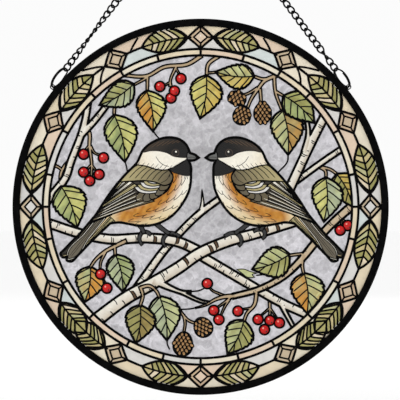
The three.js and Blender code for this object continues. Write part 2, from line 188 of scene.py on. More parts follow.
def curve(points, closed=False, spacing=SPACING, grid=GRID):
    """A smooth line through control points. A point with a third value is a sharp corner."""
    spots = np.array([p[:2] for p in points], float) * grid
    sharp = [len(p) > 2 for p in points]
    pairs = tangents(spots, sharp, closed)
    line = []
    count = len(spots)
    for i in range(count if closed else count - 1):
        start, end = spots[i], spots[(i + 1) % count]
        span = np.hypot(*(end - start))
        leave = pairs[i][1] * span
        arrive = pairs[(i + 1) % count][0] * span
        steps = max(1, round(span / spacing))
        for k in range(steps):
            t = k / steps
            line.append(
                (2 * t**3 - 3 * t**2 + 1) * start + (t**3 - 2 * t**2 + t) * leave
                + (3 * t**2 - 2 * t**3) * end + (t**3 - t**2) * arrive
            )
    if not closed:
        line.append(spots[-1])
    return np.array(line)


def units(rows):
    """Each row of an array at unit length."""
    return rows / np.maximum(np.hypot(*rows.T), 1e-9)[:, None]


def left_of(way):
    """A direction turned a quarter to the left."""
    return np.array([-way[1], way[0]])


def side_normals(line, closed=False):
    """Unit normals to the left of a line, and how far a mitre reaches at each point."""
    ahead = np.roll(line, -1, axis=0) - line
    behind = line - np.roll(line, 1, axis=0)
    if not closed:
        ahead[-1] = behind[-1]
        behind[0] = ahead[0]
    ahead = units(ahead)
    middle = ahead + units(behind)
    middle = np.where(np.hypot(*middle.T)[:, None] > 0.2, units(middle), ahead)
    reach = 1 / np.clip((middle * ahead).sum(axis=1), 0.55, 1)
    return np.stack([-middle[:, 1], middle[:, 0]], axis=1), reach


def beside(line, distance, closed=False):
    normals, reach = side_normals(line, closed)
    return line + normals * (np.broadcast_to(distance, len(line)) * reach)[:, None]


def band(line, start_width, end_width):
    """The outline of a stripe about a line, tapering from one width to the other."""
    share = np.linspace(0, 1, len(line))
    half = (start_width * (1 - share) + end_width * share) / 2
    return np.concatenate([beside(line, -half), beside(line, half)[::-1]])


def signed_distance(points, line):
    """The distance of each point from a line, positive on the line's left."""
    starts, spans = line[:-1], np.diff(line, axis=0)
    rel = points[:, None, :] - starts[None]
    share = np.clip((rel * spans[None]).sum(axis=2) / np.maximum((spans**2).sum(axis=1), 1e-12)[None], 0, 1)
    squared = ((rel - share[..., None] * spans[None]) ** 2).sum(axis=2)
    best = squared.argmin(axis=1)
    rows = np.arange(len(points))
    rel, spans = rel[rows, best], spans[best]
    return np.sign(spans[:, 0] * rel[:, 1] - spans[:, 1] * rel[:, 0]) * np.sqrt(squared[rows, best])


def inside(points, outline):
    """Which points lie within a closed outline."""
    found = np.zeros(len(points), bool)
    low, high = outline.min(axis=0), outline.max(axis=0)
    near = np.nonzero(((points >= low) & (points <= high)).all(axis=1))[0]
    if not len(near):
        return found
    x, y = points[near, 0][:, None], points[near, 1][:, None]
    x0, y0 = outline[:, 0][None], outline[:, 1][None]
    x1, y1 = np.roll(x0, -1), np.roll(y0, -1)
    crosses = (y0 > y) != (y1 > y)
    rise = np.where(y1 == y0, 1e-12, y1 - y0)
    found[near] = (crosses & (x < (x1 - x0) * (y - y0) / rise + x0)).sum(axis=1) % 2 == 1
    return found


def wander(x, y, scale):
    """A smooth, fixed ripple between about -1 and 1, the same on every run."""
    u, v = x / scale, y / scale
    return (
        np.sin(1.7 * u + 1.3 * np.sin(0.9 * v + 0.5)) * np.cos(1.3 * v + 1.1 * np.sin(1.1 * u))
        + 0.5 * np.sin(3.1 * u - 2.3 * v + 1.7)
    ) / 1.5


# The drawing: shapes from back to front, each clipped by the shape that it lies within

@dataclass
class Shape:
    piece: str  # the object that its glass belongs to
    outline: np.ndarray
    tint: object  # a colour, or a function of points that gives colours
    line: float = 0.0  # half width of the seam around it
    within: int = -1
    painted: bool = False  # a painted area of the pane that it lies within, not a pane of its own
    relief: object = None  # height above the glass, as a function of points
    stem: int = -1  # the shape that it grows out of, as one pane with it
    ancestors: tuple = ()


shapes = []
strokes = []  # painted lines: (points, half widths, paint, shape)
leads = []  # seams that part no colours: (points, half width, shape)
spots = []  # points that give a tile's middle some faces of its own


def signed_area(outline):
    x, y = outline.T
    return (x * np.roll(y, -1) - np.roll(x, -1) * y).sum() / 2


def shape(piece, outline, tint, line=0.0, within=-1, painted=False, relief=None, stem=-1):
    ancestors = () if within < 0 else (*shapes[within].ancestors, within)
    outline = np.asarray(outline)
    if signed_area(outline) < 0:
        outline = outline[::-1]
    shapes.append(Shape(piece, outline, tint, line, within, painted, relief, stem, ancestors))
    return len(shapes) - 1


def stroke(points, half, paint, owner):
    """A painted line that tapers to both ends."""
    line = np.asarray(points)
    share = np.linspace(0, 1, len(line))
    strokes.append((line, half * np.clip(6.5 * (share * (1 - share)) ** 0.7, 0.35, 1), paint, owner))


def mixed(first, second, share):
    """Blends two colours by a share that differs from point to point."""
    share = np.clip(share, 0, 1)[:, None]
    return np.array(first)[None] * (1 - share) + np.array(second)[None] * share


def gradient(first, second, start, end):
    """Turns from one colour to the other between two points of the grid."""
    start, end = np.array(start) * GRID, np.array(end) * GRID
    span = end - start

    def tint(points):
        return mixed(first, second, ((points - start) * span).sum(axis=1) / (span**2).sum())

    return tint


# The border

DIAMOND_COUNT = 12
STATIONS = full_turn(DIAMOND_COUNT)
DIAMOND_RADIAL = 9.2
DIAMOND_TANGENTIAL = 10.4
INNER_DIAMOND = 0.54  # size of the diamond inside a diamond
BORDER_LEAF_HALF_WIDTH = 9.3
BORDER_LEAF_STEPS = 22
BORDER_SPACING = 2.0
BORDER_LEAF_VEINS = 6
VEIN_SLANTS = (11.5, 6)  # how far the first and the last vein run along the border on their way out
BORDER_LEAF_SHARES = [0, 0.08, 0.2, 0.35, 0.55, 0.75, 0.9, 1]
BORDER_LEAF_SWELLS = [0, 0.38, 0.74, 0.96, 1.0, 0.77, 0.37, 0]
# The diamond that each leaf starts at, the way that it points and its length
BORDER_LEAVES = [
    (0, 1, 38.4), (2, -1, 39.6), (3, -1, 41.5), (3, 1, 41.3), (4, 1, 34.5), (5, -1, 31.3), (6, -1, 38.1),
]
BORDER_LEAF_TINTS = [
    DARK_OLIVE, KHAKI, BORDER_OLIVE, BORDER_SAGE, KHAKI, DARK_OLIVE, BORDER_OLIVE, KHAKI, WARM_CREAM,
]
LEAF_MEETING = 6.8, 6.2  # half sizes of the tile where two leaves cross
OUTER_FILLS = [WARM_CREAM, PEACH, CREAM, WARM_CREAM, CREAM, PALE_GREY, WARM_CREAM]
INNER_FILLS = [PALE_GREY, PALE_BLUE, CREAM, PALE_GREY, PEACH, PALE_GREY, PALE_BLUE]
DIAMOND_MIDDLES = [PEACH, BEIGE, BEIGE, PALE_GREY, BEIGE, BEIGE]
TILE_TICKS = [0, 16, 30.5, 44, 61, 78, 90, 102, 119, 135, 152, 166, 180]
TILE_TINTS = [PEACH, CREAM, WARM_CREAM, PEACH, CREAM, PALE_GREY, WARM_CREAM]


def in_border(station, along, out):
    return polar(BORDER_MIDDLE + out, station + along / BORDER_MIDDLE)


def border_line(station, points):
    """A line of the border through [along, out] points, bent with the border."""
    line = []
    for (a0, o0), (a1, o1) in zip(points, points[1:]):
        steps = max(1, round(math.hypot(a1 - a0, o1 - o0) / BORDER_SPACING))
        for k in range(steps):
            t = k / steps
            line.append(in_border(station, a0 + (a1 - a0) * t, o0 + (o1 - o0) * t))
    line.append(in_border(station, *points[-1]))
    return np.array(line)


def sector(inner, outer, start, end):
    steps = 8
    angles = [start + (end - start) * k / steps for k in range(steps + 1)]
    return np.array([polar(inner, a) for a in angles] + [polar(outer, a) for a in reversed(angles)])


def fill_wedges(parent, tints, outer):
    """Colours the plain tiles in wedges, alike on both sides of the panel."""
    for i in range(2 * DIAMOND_COUNT):
        angle = math.pi * i / DIAMOND_COUNT
        tint = tints[min(i, 2 * DIAMOND_COUNT - 1 - i) % len(tints)]
        outline = sector(BORDER_MIDDLE - BORDER_WIDTH, outer, angle, angle + math.pi / DIAMOND_COUNT)
        shape("border_tiles", outline, tint, within=parent, painted=True)


def border_fills(border):
    """The plain tiles between diamonds and leaves, parted along the middle of the border."""
    fill_wedges(border, OUTER_FILLS, BORDER_MIDDLE + BORDER_WIDTH)
    middle = shape("border_tiles", circle(BORDER_MIDDLE), PALE_GREY, LINE, within=border)
    for side in (1, -1):
        for owner, number, way, points in (
            (border, 0, 1, [(58.9, 0), (55.5, 3.2), (51.5, 6.4), (47.5, 9.4)]),
            (border, 2, -1, [(61.7, 0), (56, 3.4), (50, 6.4), (44, 9.4)]),
            (middle, 2, -1, [(61.7, 0), (57, -2.8), (53, -6), (50, -9.4)]),
        ):
            arc = border_line(side * STATIONS[number], [(side * way * along, out) for along, out in points])
            leads.append((arc, LINE * 0.85, owner))
    fill_wedges(middle, INNER_FILLS, BORDER_MIDDLE + 1)


def border_leaf(border, station, way, length, turn):
    """A long leaf whose veins part it into slanting tiles."""
    start = DIAMOND_TANGENTIAL
    far = 2 * BORDER_LEAF_HALF_WIDTH

    def at(along, out):
        return in_border(station, way * along, out)

    def edge(share):
        return BORDER_LEAF_HALF_WIDTH * float(np.interp(share, BORDER_LEAF_SHARES, BORDER_LEAF_SWELLS))

    def tile(points, offset, line, parent):
        tint = BORDER_LEAF_TINTS[(turn + offset) % len(BORDER_LEAF_TINTS)]
        return shape("border_leaves", points, tint, line, within=parent)

    def tiles(parent, out_way, offset):
        for k in range(BORDER_LEAF_VEINS):
            share = k / (BORDER_LEAF_VEINS - 1)
            foot = start + length * (0.03 + 0.70 * share) + (0.8 if out_way < 0 else 0)
            slant = VEIN_SLANTS[0] * (1 - share) + VEIN_SLANTS[1] * share
            line = [at(foot - slant / 2, -out_way * far / 2)]
            line += [at(foot + slant * t, out_way * far / 2 * t**0.85) for t in (0, 0.25, 0.5, 0.75, 1)]
            line.append(at(foot + slant * 2, out_way * far))
            beyond = [at(start + length + 22, out_way * far), at(start + length + 22, -out_way * far / 2)]
            tile(line + beyond, offset + 2 * k, BORDER_VEIN_LINE, parent)

    shares = [k / BORDER_LEAF_STEPS for k in range(BORDER_LEAF_STEPS + 1)]
    upper = [at(start + length * s, edge(s)) for s in shares]
    lower = [at(start + length * s, -edge(s)) for s in shares[-2:0:-1]]
    leaf = tile(upper + lower, 0, LINE, border)
    tiles(leaf, 1, 1)
    rib = [at(start - 2 + (length + 4) * k / 12, 0) for k in range(13)]
    below = [at(start + length + 2, -far), at(start - 2, -far)]
    tiles(tile(rib + below, 3, BORDER_VEIN_LINE, leaf), -1, 4)


def leaf_meeting(border, angle):
    """The tile that two long leaves share where their tips cross."""
    along, out = LEAF_MEETING
    outline = border_line(angle, [(-along, 0), (0, out), (along, 0), (0, -out), (-along, 0)])[:-1]
    shared = shape("border_leaves", outline, BORDER_OLIVE, LINE * 0.8, within=border)
    leads.append((border_line(angle, [(-along, 0), (along, 0)]), BORDER_VEIN_LINE, shared))


def diamond(border, number, station):
    corners = [(0, DIAMOND_RADIAL), (DIAMOND_TANGENTIAL, 0), (0, -DIAMOND_RADIAL), (-DIAMOND_TANGENTIAL, 0)]

    def outline(share):
        points = [(a * share, o * share) for a, o in corners]
        return border_line(station, [*points, points[0]])[:-1]

    outer = shape("diamonds", outline(1), BEIGE if number % 2 else DIAMOND_EDGE, LINE, within=border)
    for a, o in corners:
        mitre = border_line(station, [(a * INNER_DIAMOND, o * INNER_DIAMOND), (a, o)])
        leads.append((mitre, BORDER_VEIN_LINE, outer))
    middle = DIAMOND_MIDDLES[min(number, DIAMOND_COUNT - number) % len(DIAMOND_MIDDLES)]
    shape("diamonds", outline(INNER_DIAMOND), middle, BORDER_VEIN_LINE, within=outer)


def draw_border():
    base = shape("border_tiles", circle(BORDER_GLASS_RADIUS), WARM_CREAM)
    border = shape("border_tiles", circle(FRAME_INNER - FIT_GAP), WARM_CREAM, within=base, painted=True)
    border_fills(border)
    turn = 0
    for side in (1, -1):
        for number, way, length in BORDER_LEAVES:
            border_leaf(border, side * STATIONS[number], side * way, length, turn)
            turn += 2
        leaf_meeting(border, side * (STATIONS[4] + STATIONS[5]) / 2)
    for number, station in enumerate(STATIONS):
        diamond(border, number, station)


def draw_tile_ring():
    ring = shape("ring_tiles", circle(TILE_RING_OUTER), CREAM, LINE)
    angles = [math.radians(a) for a in TILE_TICKS]
    angles += [2 * math.pi - a for a in reversed(angles[:-1])]
    for i, (start, end) in enumerate(zip(angles, angles[1:])):
        outline = sector(TILE_RING_INNER - 3, TILE_RING_OUTER + 3, start, end)
        shape("ring_tiles", outline, TILE_TINTS[i % len(TILE_TINTS)], LINE, within=ring)


# The picture

LEAF_TEETH = 8
TOOTH = 0.10
TOOTH_PROFILE = ((0.0, 0.0), (0.45, 0.7), (0.9, 1.0))  # place within a tooth, and height there
LEAF_VEINS = 4
LEAF_BEND = 0.06
LEAF_SHARES = [0, 0.03, 0.1, 0.2, 0.33, 0.5, 0.65, 0.8, 0.92, 1]
LEAF_SWELLS = [0, 0.20, 0.58, 0.85, 0.98, 0.92, 0.72, 0.44, 0.18, 0]


def leaf_swell(share):
    """Half width of a birch leaf along its length, in shares of its widest."""
    return float(np.interp(share, LEAF_SHARES, LEAF_SWELLS))


def birch_leaf(picture, foot, tip, width, left_tint, right_tint):
    """A saw-edged leaf: a rib, veins, and one colour each side of the rib, seen with the tip downward."""
    start, end = np.array(foot) * GRID, np.array(tip) * GRID
    length = np.hypot(*(end - start))
    along = (end - start) / length
    left = left_of(along)
    half = width * GRID / 2

    def at(share, out):
        bend = LEAF_BEND * length * math.sin(math.pi * share)
        return start + along * length * share + left * (out * half + bend)

    def edge(way):
        points = []
        for k in range(LEAF_TEETH):
            for part, rise in TOOTH_PROFILE:
                share = 0.03 + 0.94 * (k + part) / LEAF_TEETH
                tooth = TOOTH * rise * min(1, 0.3 + 1.6 * share)
                points.append(at(share, way * leaf_swell(share) * (1 + tooth)))
        return points

    def shaded(tint, other):
        """Painted shade in bands between the veins and a darker middle by the rib, so the rim is lighter;
        random changes of tone, and patches of the other half's colour.
        """
        def shade(points):
            rel = points - start
            share = rel @ along / length
            out = rel @ left - LEAF_BEND * length * np.sin(np.pi * np.clip(share, 0, 1))
            # painted shade: bands along the veins, darker toward the rib
            bands = 0.07 * np.sin(2 * np.pi * (share - 0.12 * np.abs(out) / half) * LEAF_VEINS)
            light = 0.8 + 0.24 * np.clip(np.abs(out) / half, 0, 1) + bands + 0.15 * wander(*points.T, 4)
            mottle = 0.08 + 0.5 * wander(*(points + 31).T, 6) - 0.2 * (share - 0.5)
            return mixed(tint, other, np.clip(mottle, 0, 0.75)) * light[:, None]
        return shade

    outline = [at(0, 0), *edge(-1), at(1, 0), *reversed(edge(1))]
    whole = shape("birch_leaves", outline, shaded(left_tint, right_tint), LEAF_LINE, within=picture)
    rib = [at(s, 0) for s in np.linspace(-0.03, 1.03, 12)]
    beyond = [at(1.1, 3), at(-0.1, 3)]
    shape("birch_leaves", rib + beyond, shaded(right_tint, left_tint), RIB_LINE, within=whole, painted=True)
    for k in range(LEAF_VEINS):
        for way in (-1, 1):
            share = 0.07 + 0.74 * (k + 0.2 * way) / LEAF_VEINS
            reach = leaf_swell(share + 0.22) * 0.97
            points = [(max(share, 0.03), 0), (share + 0.085, 0.42 * reach), (share + 0.22, reach)]
            vein = curve([tuple(at(s, way * o)) for s, o in points], grid=1, spacing=0.8)
            stroke(vein, VEIN_PAINT, BLACK, whole)


MARK_MARGIN = 3.0  # from a branch's end to its first mark
MARK_STEPS = (4.5, 10)  # shortest and longest way from mark to mark
PATCH_HALF_WIDTH = 3.6  # brown patches are only on branches wider than this
BERRY_RADIUS = 4.9
BERRY_DOME = 0.88  # radius of the dome, as a share of the berry's
BERRY_RISE = 2.1


def stem_at(piece, course):
    """The branch or twig of the same piece that a new one starts or ends on, or -1."""
    ends = np.array([course[0][:2], course[-1][:2]], float) * GRID
    for index in range(len(shapes) - 1, -1, -1):
        if shapes[index].piece == piece and inside(ends, shapes[index].outline).any():
            return index
    return -1


def branch(picture, course, start_width, end_width, ticks=True, grows=False, brown=False):
    """A birch branch, white with dark marks in its bark, or a brown one; either with painted shade along its
    underside.
    """
    line = curve(course)
    piece, wood, shade = ("twigs", BEIGE, TAN) if brown else ("branches", BIRCH, BIRCH_SHADE)
    widths = (start_width * GRID, end_width * GRID)

    def tint(points):
        # painted shade: the wood turns to its shade colour toward the underside, with some random change of
        # tone
        off = signed_distance(points, line)
        under = np.where(line[-1][0] > line[0][0], -1, 1) * off / (max(widths) / 2)
        return mixed(wood, shade, 0.55 * (under + 0.4) + 0.16 * wander(*points.T, 4))

    stem = stem_at(piece, course) if grows else -1
    whole = shape(piece, band(line, *widths), tint, BRANCH_LINE, within=picture, stem=stem)
    if ticks:
        bark_marks(line, widths, whole)


def bark_marks(line, widths, owner):
    """Short dark marks that reach in from either side of a branch, and brown patches between two of them."""
    normals, _ = side_normals(line)
    length = np.hypot(*np.diff(line, axis=0).T).sum()
    walked = MARK_MARGIN
    while walked < length - MARK_MARGIN:
        share = walked / length
        i = min(int(share * (len(line) - 1)), len(line) - 2)
        half = (widths[0] * (1 - share) + widths[1] * share) / 2
        along = line[i + 1] - line[i]
        along = along / np.hypot(*along)
        out = normals[i] * RNG.choice((-1, 1)) * half
        kind = RNG.random()
        if kind < 0.3 and half > PATCH_HALF_WIDTH:
            marks = ((1.1, 0.8, 1.1, BROWN), (0, 0.95, 0.6, BLACK), (2.3, 0.75, 0.6, BLACK))
        elif kind < 0.45:
            marks = ((0, RNG.uniform(0.6, 0.95), 0.5, BLACK), (1.5, RNG.uniform(0.4, 0.7), 0.5, BLACK))
        else:
            marks = ((0, RNG.uniform(0.25, 0.6), RNG.uniform(0.45, 0.75), BLACK),)
        for shift, reach, width, paint in marks:
            foot = line[i] + along * shift
            first, last = foot + out, foot + out * (1 - 2 * reach)
            bow = (first + last) / 2 + along * 0.5
            stroke(curve([tuple(first), tuple(bow), tuple(last)], grid=1, spacing=0.7), width, paint, owner)
        walked += RNG.uniform(*MARK_STEPS)


def twig(picture, course, start_width, end_width):
    outline = band(curve(course), start_width * GRID, end_width * GRID)
    shape("twigs", outline, TWIG_BROWN, TWIG_LINE, within=picture, stem=stem_at("twigs", course))


def berry(picture, x, y):
    """A low red dome with painted shade toward its lower right and its rim, a dark dot there and a painted
    glint across from it.
    """
    centre = np.array([x, y]) * GRID
    size = BERRY_RADIUS * GRID

    def relief(points):
        share = ((points - centre) ** 2).sum(axis=1) / (BERRY_DOME * size) ** 2
        return BERRY_RISE * np.sqrt(np.clip(1 - share, 0, 1))

    def tint(points):
        rel = (points - centre) / size
        # painted shade: the red darkens toward the lower right and toward the rim
        shade = rel[:, 0] * 0.4 - rel[:, 1] * 0.5 + (rel**2).sum(axis=1) * 0.4
        return np.array(BERRY_RED)[None] * (1 - 0.55 * np.clip(shade, 0, 1))[:, None]

    for ring in range(6):
        spots.extend(centre + polar(size * ring / 6, angle + ring) for angle in full_turn(14))
    owner = shape("berries", circle(size, centre, 0.8), tint, BERRY_LINE, within=picture, relief=relief)
    dot = centre + np.array([1, -1]) * size * 0.34
    shape("berries", circle(0.6, dot, 0.3), DARK, within=owner, painted=True)
    # painted highlight: a pale spot at the upper left
    glint = centre + np.array([-1, 1.1]) * size * 0.3
    shape("berries", circle(0.75, glint, 0.35), BERRY_PAINTED_GLINT, within=owner, painted=True)


SCALE_ROW = 2.5
SCALE_COLUMN = 3.5
CONE_LINE = 0.54


def cone(picture, x, y, width, height, turn):
    """A small alder cone: rows of scales on a dark core, leaning outward at its sides."""
    centre = np.array([x, y]) * GRID
    half = np.array([width, height]) * GRID / 2
    angle = math.radians(turn)
    across = np.array([math.cos(angle), math.sin(angle)])
    down = np.array([math.sin(angle), -math.cos(angle)])

    def at(u, v):
        return centre + across * u * half[0] + down * v * half[1]

    outline = [at(math.sin(a) * (1 - 0.12 * math.cos(a)), -math.cos(a)) for a in full_turn(36)]
    shape("cones", outline, DARK, LEAF_LINE * 0.8, within=picture)
    rows = int(half[1] / SCALE_ROW)
    columns = int(half[0] / SCALE_COLUMN) + 1
    for row in range(-rows, rows + 1):
        for column in range(-columns, columns + 1):
            u = (column + 0.5 * (row % 2)) * SCALE_COLUMN / half[0]
            v = row * SCALE_ROW / half[1]
            if math.hypot(u, v) < 0.92:
                cone_scale(picture, at(u, v), turned_by(down, across, 0.25 + 0.8 * u))


def turned_by(first, second, angle):
    """Two directions at right angles, both turned by an angle."""
    along = first * math.cos(angle) + second * math.sin(angle)
    return along, second * math.cos(angle) - first * math.sin(angle)


def cone_scale(picture, middle, directions):
    """One scale of a cone: a slender oval with painted shade at its root and a painted highlight at its tip.
    """
    along, out = directions
    long, wide = 0.84 * SCALE_ROW, 0.4 * SCALE_COLUMN
    light = RNG.uniform(0.85, 1.15)

    def tint(points):
        # painted shade at the root, painted highlight toward the tip
        return light * mixed(CONE_BROWN, CONE_HIGHLIGHT, 0.55 + 0.5 * (points - middle) @ along / long)

    def relief(points):
        rel = points - middle
        share = (rel @ out / wide) ** 2 + (rel @ along / long) ** 2
        return 0.4 * np.sqrt(np.clip(1 - share, 0, 1))

    ring = [middle + out * wide * math.sin(a) + along * long * math.cos(a) for a in full_turn(12)]
    spots.append(middle)
    shape("cones", ring, tint, CONE_LINE, within=picture, relief=relief)


MIRROR = 1.6  # the birds face each other about this line of the grid
EYE = (-25.2, 53.9)

BIRD_OUTLINE = [
    (-2, 49, 0), (-6, 52.2), (-10.5, 53.7, 0), (-14.5, 62.2), (-21, 67.3), (-30.6, 69.3), (-45.8, 65.7),
    (-56.5, 57.7), (-64.1, 43.5), (-73.5, 34), (-87.7, 17.5), (-97.6, 3.2), (-104, -7), (-111, -15.5, 0),
    (-118.1, -24), (-136.5, -43), (-140, -47), (-138, -50.4), (-133.8, -50, 0), (-133.6, -53.4),
    (-129, -54.6), (-123, -49), (-110.6, -36), (-90.4, -16.6, 0), (-81, -15.6), (-72.6, -17),
    (-59.2, -19.1), (-43.1, -16.9), (-27.9, -8.4), (-17.2, 4.6), (-11, 18), (-9.6, 31.8), (-10.1, 42),
    (-11.8, 46.1, 0), (-6, 46.6),
]


def flipper(side):
    """The function that maps the left bird's points onto either bird."""
    def flip(points):
        return points if side < 0 else [(2 * MIRROR - p[0], *p[1:]) for p in points]
    return flip


def bird(picture, side):
    """A small songbird with a dark cap and bib, pale cheek, striped wing and warm flank."""
    flip = flipper(side)
    piece = "left_bird" if side < 0 else "right_bird"

    def area(points, tint, line=0.0):
        shape(piece, curve(flip(points), closed=True), tint, line, within=whole, painted=True)

    def fade(first, second, start, end):
        return gradient(first, second, *flip([start, end]))

    def feather(points, half, paint=BLACK):
        stroke(curve(flip(points), spacing=0.9), half, paint, whole)

    legs(picture, flip, (1, 1) if side < 0 else (0.72, 0.97))
    whole = shape(piece, curve(flip(BIRD_OUTLINE), closed=True), BELLY, BIRD_LINE, within=picture)
    flank_line = curve(flip(FLANK_LINE))

    def belly(points):
        warm = np.clip(1.5 - np.abs(signed_distance(points, flank_line)) / FLANK_REACH, 0, 1)
        pale = mixed(BELLY, CHEEK, (points[:, 1] / GRID + 12) / 26)
        glow = mixed(FLANK, FLANK_PALE, 0.35 + 0.5 * wander(*points.T, 2.4))
        return pale * (1 - warm)[:, None] + glow * warm[:, None]

    area([(-5, 35, 0), (-33, 38, 0), (-45, 20), (-80, -2), (-95, -14, 0), (-93, -24, 0), (-60, -26),
          (-20, -12), (0, 10)], belly)
    tail(area, feather)
    wing(area, feather, fade)
    head(area, feather, fade)
    belly_feathers(feather)


FLANK_LINE = [(-27.5, 33), (-29.5, 23), (-34, 14), (-41, 6), (-50, -0.5), (-62, -5.8), (-76, -9.5)]
FLANK_REACH = 6.5
# Each leg's shin and its two toes
LEGS = [
    ([(-62, -17), (-58.5, -22), (-56.5, -26.5)],
     [(-57, -24), (-60.6, -28.5), (-61, -34), (-58, -38)], [(-57, -25), (-53, -25.5), (-49.5, -28)]),
    ([(-45.5, -16), (-39, -21.5), (-31, -27)],
     [(-32, -26), (-36.5, -30.5), (-37.6, -36), (-34.8, -39.8)], [(-33, -26), (-26, -27), (-20.5, -30)]),
]


def legs(picture, flip, reaches):
    """Two legs with toes around the branch. Each leg's reach shortens it onto a higher branch."""
    for reach, (shin, *toes) in zip(reaches, LEGS):
        for course, start, end in (*((toe, 4, 3.4) for toe in toes), (shin, 4.6, 3.6)):
            line = curve(flip([(x, -16 + (y + 16) * reach) for x, y in course]))
            shape("birds_feet", band(line, start * GRID, end * GRID), LEG_GREY, 0.42, within=picture)


def between(first, second, share):
    """A point on the way from one point to another."""
    return (first[0] + (second[0] - first[0]) * share, first[1] + (second[1] - first[1]) * share)


def tail(area, feather):
    """Three long feathers with rounded ends, each pale at the rim and dark within."""
    for base, tip, width, rim, middle in (
        ((-104, -5), (-140.2, -48.6), 7, WING_GREY, WING_DARK),
        ((-88, -12), (-127, -54.6), 6.5, KHAKI, BACK_KHAKI),
        ((-96, -7), (-133.2, -53), 7.5, CHEEK, TAIL_GREY),
    ):
        base, tip = np.array(base), np.array(tip)
        along = (tip - base) / np.hypot(*(tip - base))
        left = left_of(along)
        for size, back, tint in ((width / 2, 0, rim), (width / 2 - 1.35, 1.6, middle)):
            end = tip - along * back
            shoulders = [end - along * size * 1.1 + left * size * way for way in (1, -1)]
            feet = [base + left * size * way for way in (1, -1)]
            points = [(*feet[0], 0), between(feet[0], shoulders[0], 0.5), shoulders[0], end, shoulders[1],
                      between(shoulders[1], feet[1], 0.5), (*feet[1], 0)]
            area([tuple(p) for p in points], tint, 0.34)
        for off in (-0.9, 0.9):
            feather([tuple(base + left * off), tuple(tip - along * 4 + left * off)], 0.24)


WING_BASES = [(-78, 28), (-66.5, 23.5), (-57.5, 14), (-46, 5.6)]
WING_TIPS = [(-92, 10), (-97.6, 2), (-102.8, -7.4), (-112, -15.6)]
WING_CUTS = [0, 0.06, 0.13, 0.18, 0.27, 0.32, 0.42, 0.47, 0.58, 0.7, 0.83, 1]
WING_TINTS = [
    BACK_KHAKI, CHEEK, BACK_DARK, CHEEK, BACK_DARK, BACK_KHAKI, BACK_DARK, WING_DARK, BACK_DARK, WING_DARK,
    BACK_DARK,
]
WING_SHAFTS = [(0.095, BLACK), (0.225, BLACK), (0.37, BLACK)]
WING_SHAFTS += [(share, WHITE) for share in (0.445, 0.53, 0.645, 0.77, 0.92)]
SHOULDER_FEATHERS = [
    (-57.5, 9.5, BACK_DARK), (-50.5, 9, WING_GREY), (-44, 11.5, BACK_DARK), (-38.5, 15, WING_GREY),
    (-34.5, 20, BACK_DARK),
]


def wing(area, feather, fade):
    """The wing in layers: long feathers, rounded shoulder feathers, pale coverts and the mantle."""
    area([(-31.5, 37), (-28, 31), (-29, 24.5), (-32.6, 17.3), (-41.3, 10.4), (-54.7, 4.1), (-77, -3),
          (-94.9, -10.2), (-112, -17, 0), (-108, -6, 0), (-80, 28, 0), (-60, 40, 0)], WING_DARK, 0.75)
    bases = curve(WING_BASES, grid=1, spacing=1)
    tips = curve(WING_TIPS, grid=1, spacing=1)

    def on(line, share):
        spot = share * (len(line) - 1)
        i = min(int(spot), len(line) - 2)
        return between(line[i], line[i + 1], spot - i)

    def bowed(ends):
        x, y = between(*ends, 0.5)
        return x + 0.8, y + 0.8

    for start, stop, tint in zip(WING_CUTS, WING_CUTS[1:], WING_TINTS):
        near = on(bases, start), on(tips, start)
        far = on(tips, stop), on(bases, stop)
        area([(*near[0], 0), bowed(near), (*near[1], 0), (*far[0], 0), bowed(far), (*far[1], 0)], tint, 0.4)
    for share, paint in WING_SHAFTS:
        ends = on(bases, share), on(tips, share)
        feather([between(*ends, 0.12), bowed(ends), between(*ends, 0.9)], 0.22, paint)
    for x, y, tint in SHOULDER_FEATHERS:
        area([(x + 5, y + 4.5, 0), (x - 2, y + 5.5), (x - 7, y + 1), (x - 6.5, y - 3.4), (x, y - 3)],
             tint, 0.4)
    for k in range(5):
        x, y = -48.5 + 1.5 * k, 12.8 + 2.5 * k
        area([(x + 4, y + 1.2, 0), (x - 6, y + 0.4), (x - 14 + k * 0.8, y + 2.6),
              (x - 18 + k * 1.4, y + 7, 0), (x - 12 + k, y + 7.2 - k * 0.4), (x - 4, y + 4.6),
              (x + 5, y + 3.6, 0)],
             BACK_KHAKI if k % 2 else PALE_GREY, 0.38)
    area([(-31, 36.4, 0), (-27.5, 30), (-31, 22.8), (-36, 21.3), (-44.9, 24.4), (-54.7, 26), (-68.1, 25.6),
          (-86, 24.5, 0), (-76, 42, 0), (-50, 48, 0)],
         fade(BACK_DARK, BACK_KHAKI, (-33, 24), (-74, 36)), 0.55)
    for k in range(7):
        x, y = -62 + 5.2 * k, 42.5 - 0.9 * k
        feather([(x, y), (x - 6.5, y - 4.5), (x - 15 + 0.5 * k, y - 13 + 0.3 * k)], 0.42)
    feather([(-30.5, 33), (-34, 27), (-40, 23.6)], 0.3)


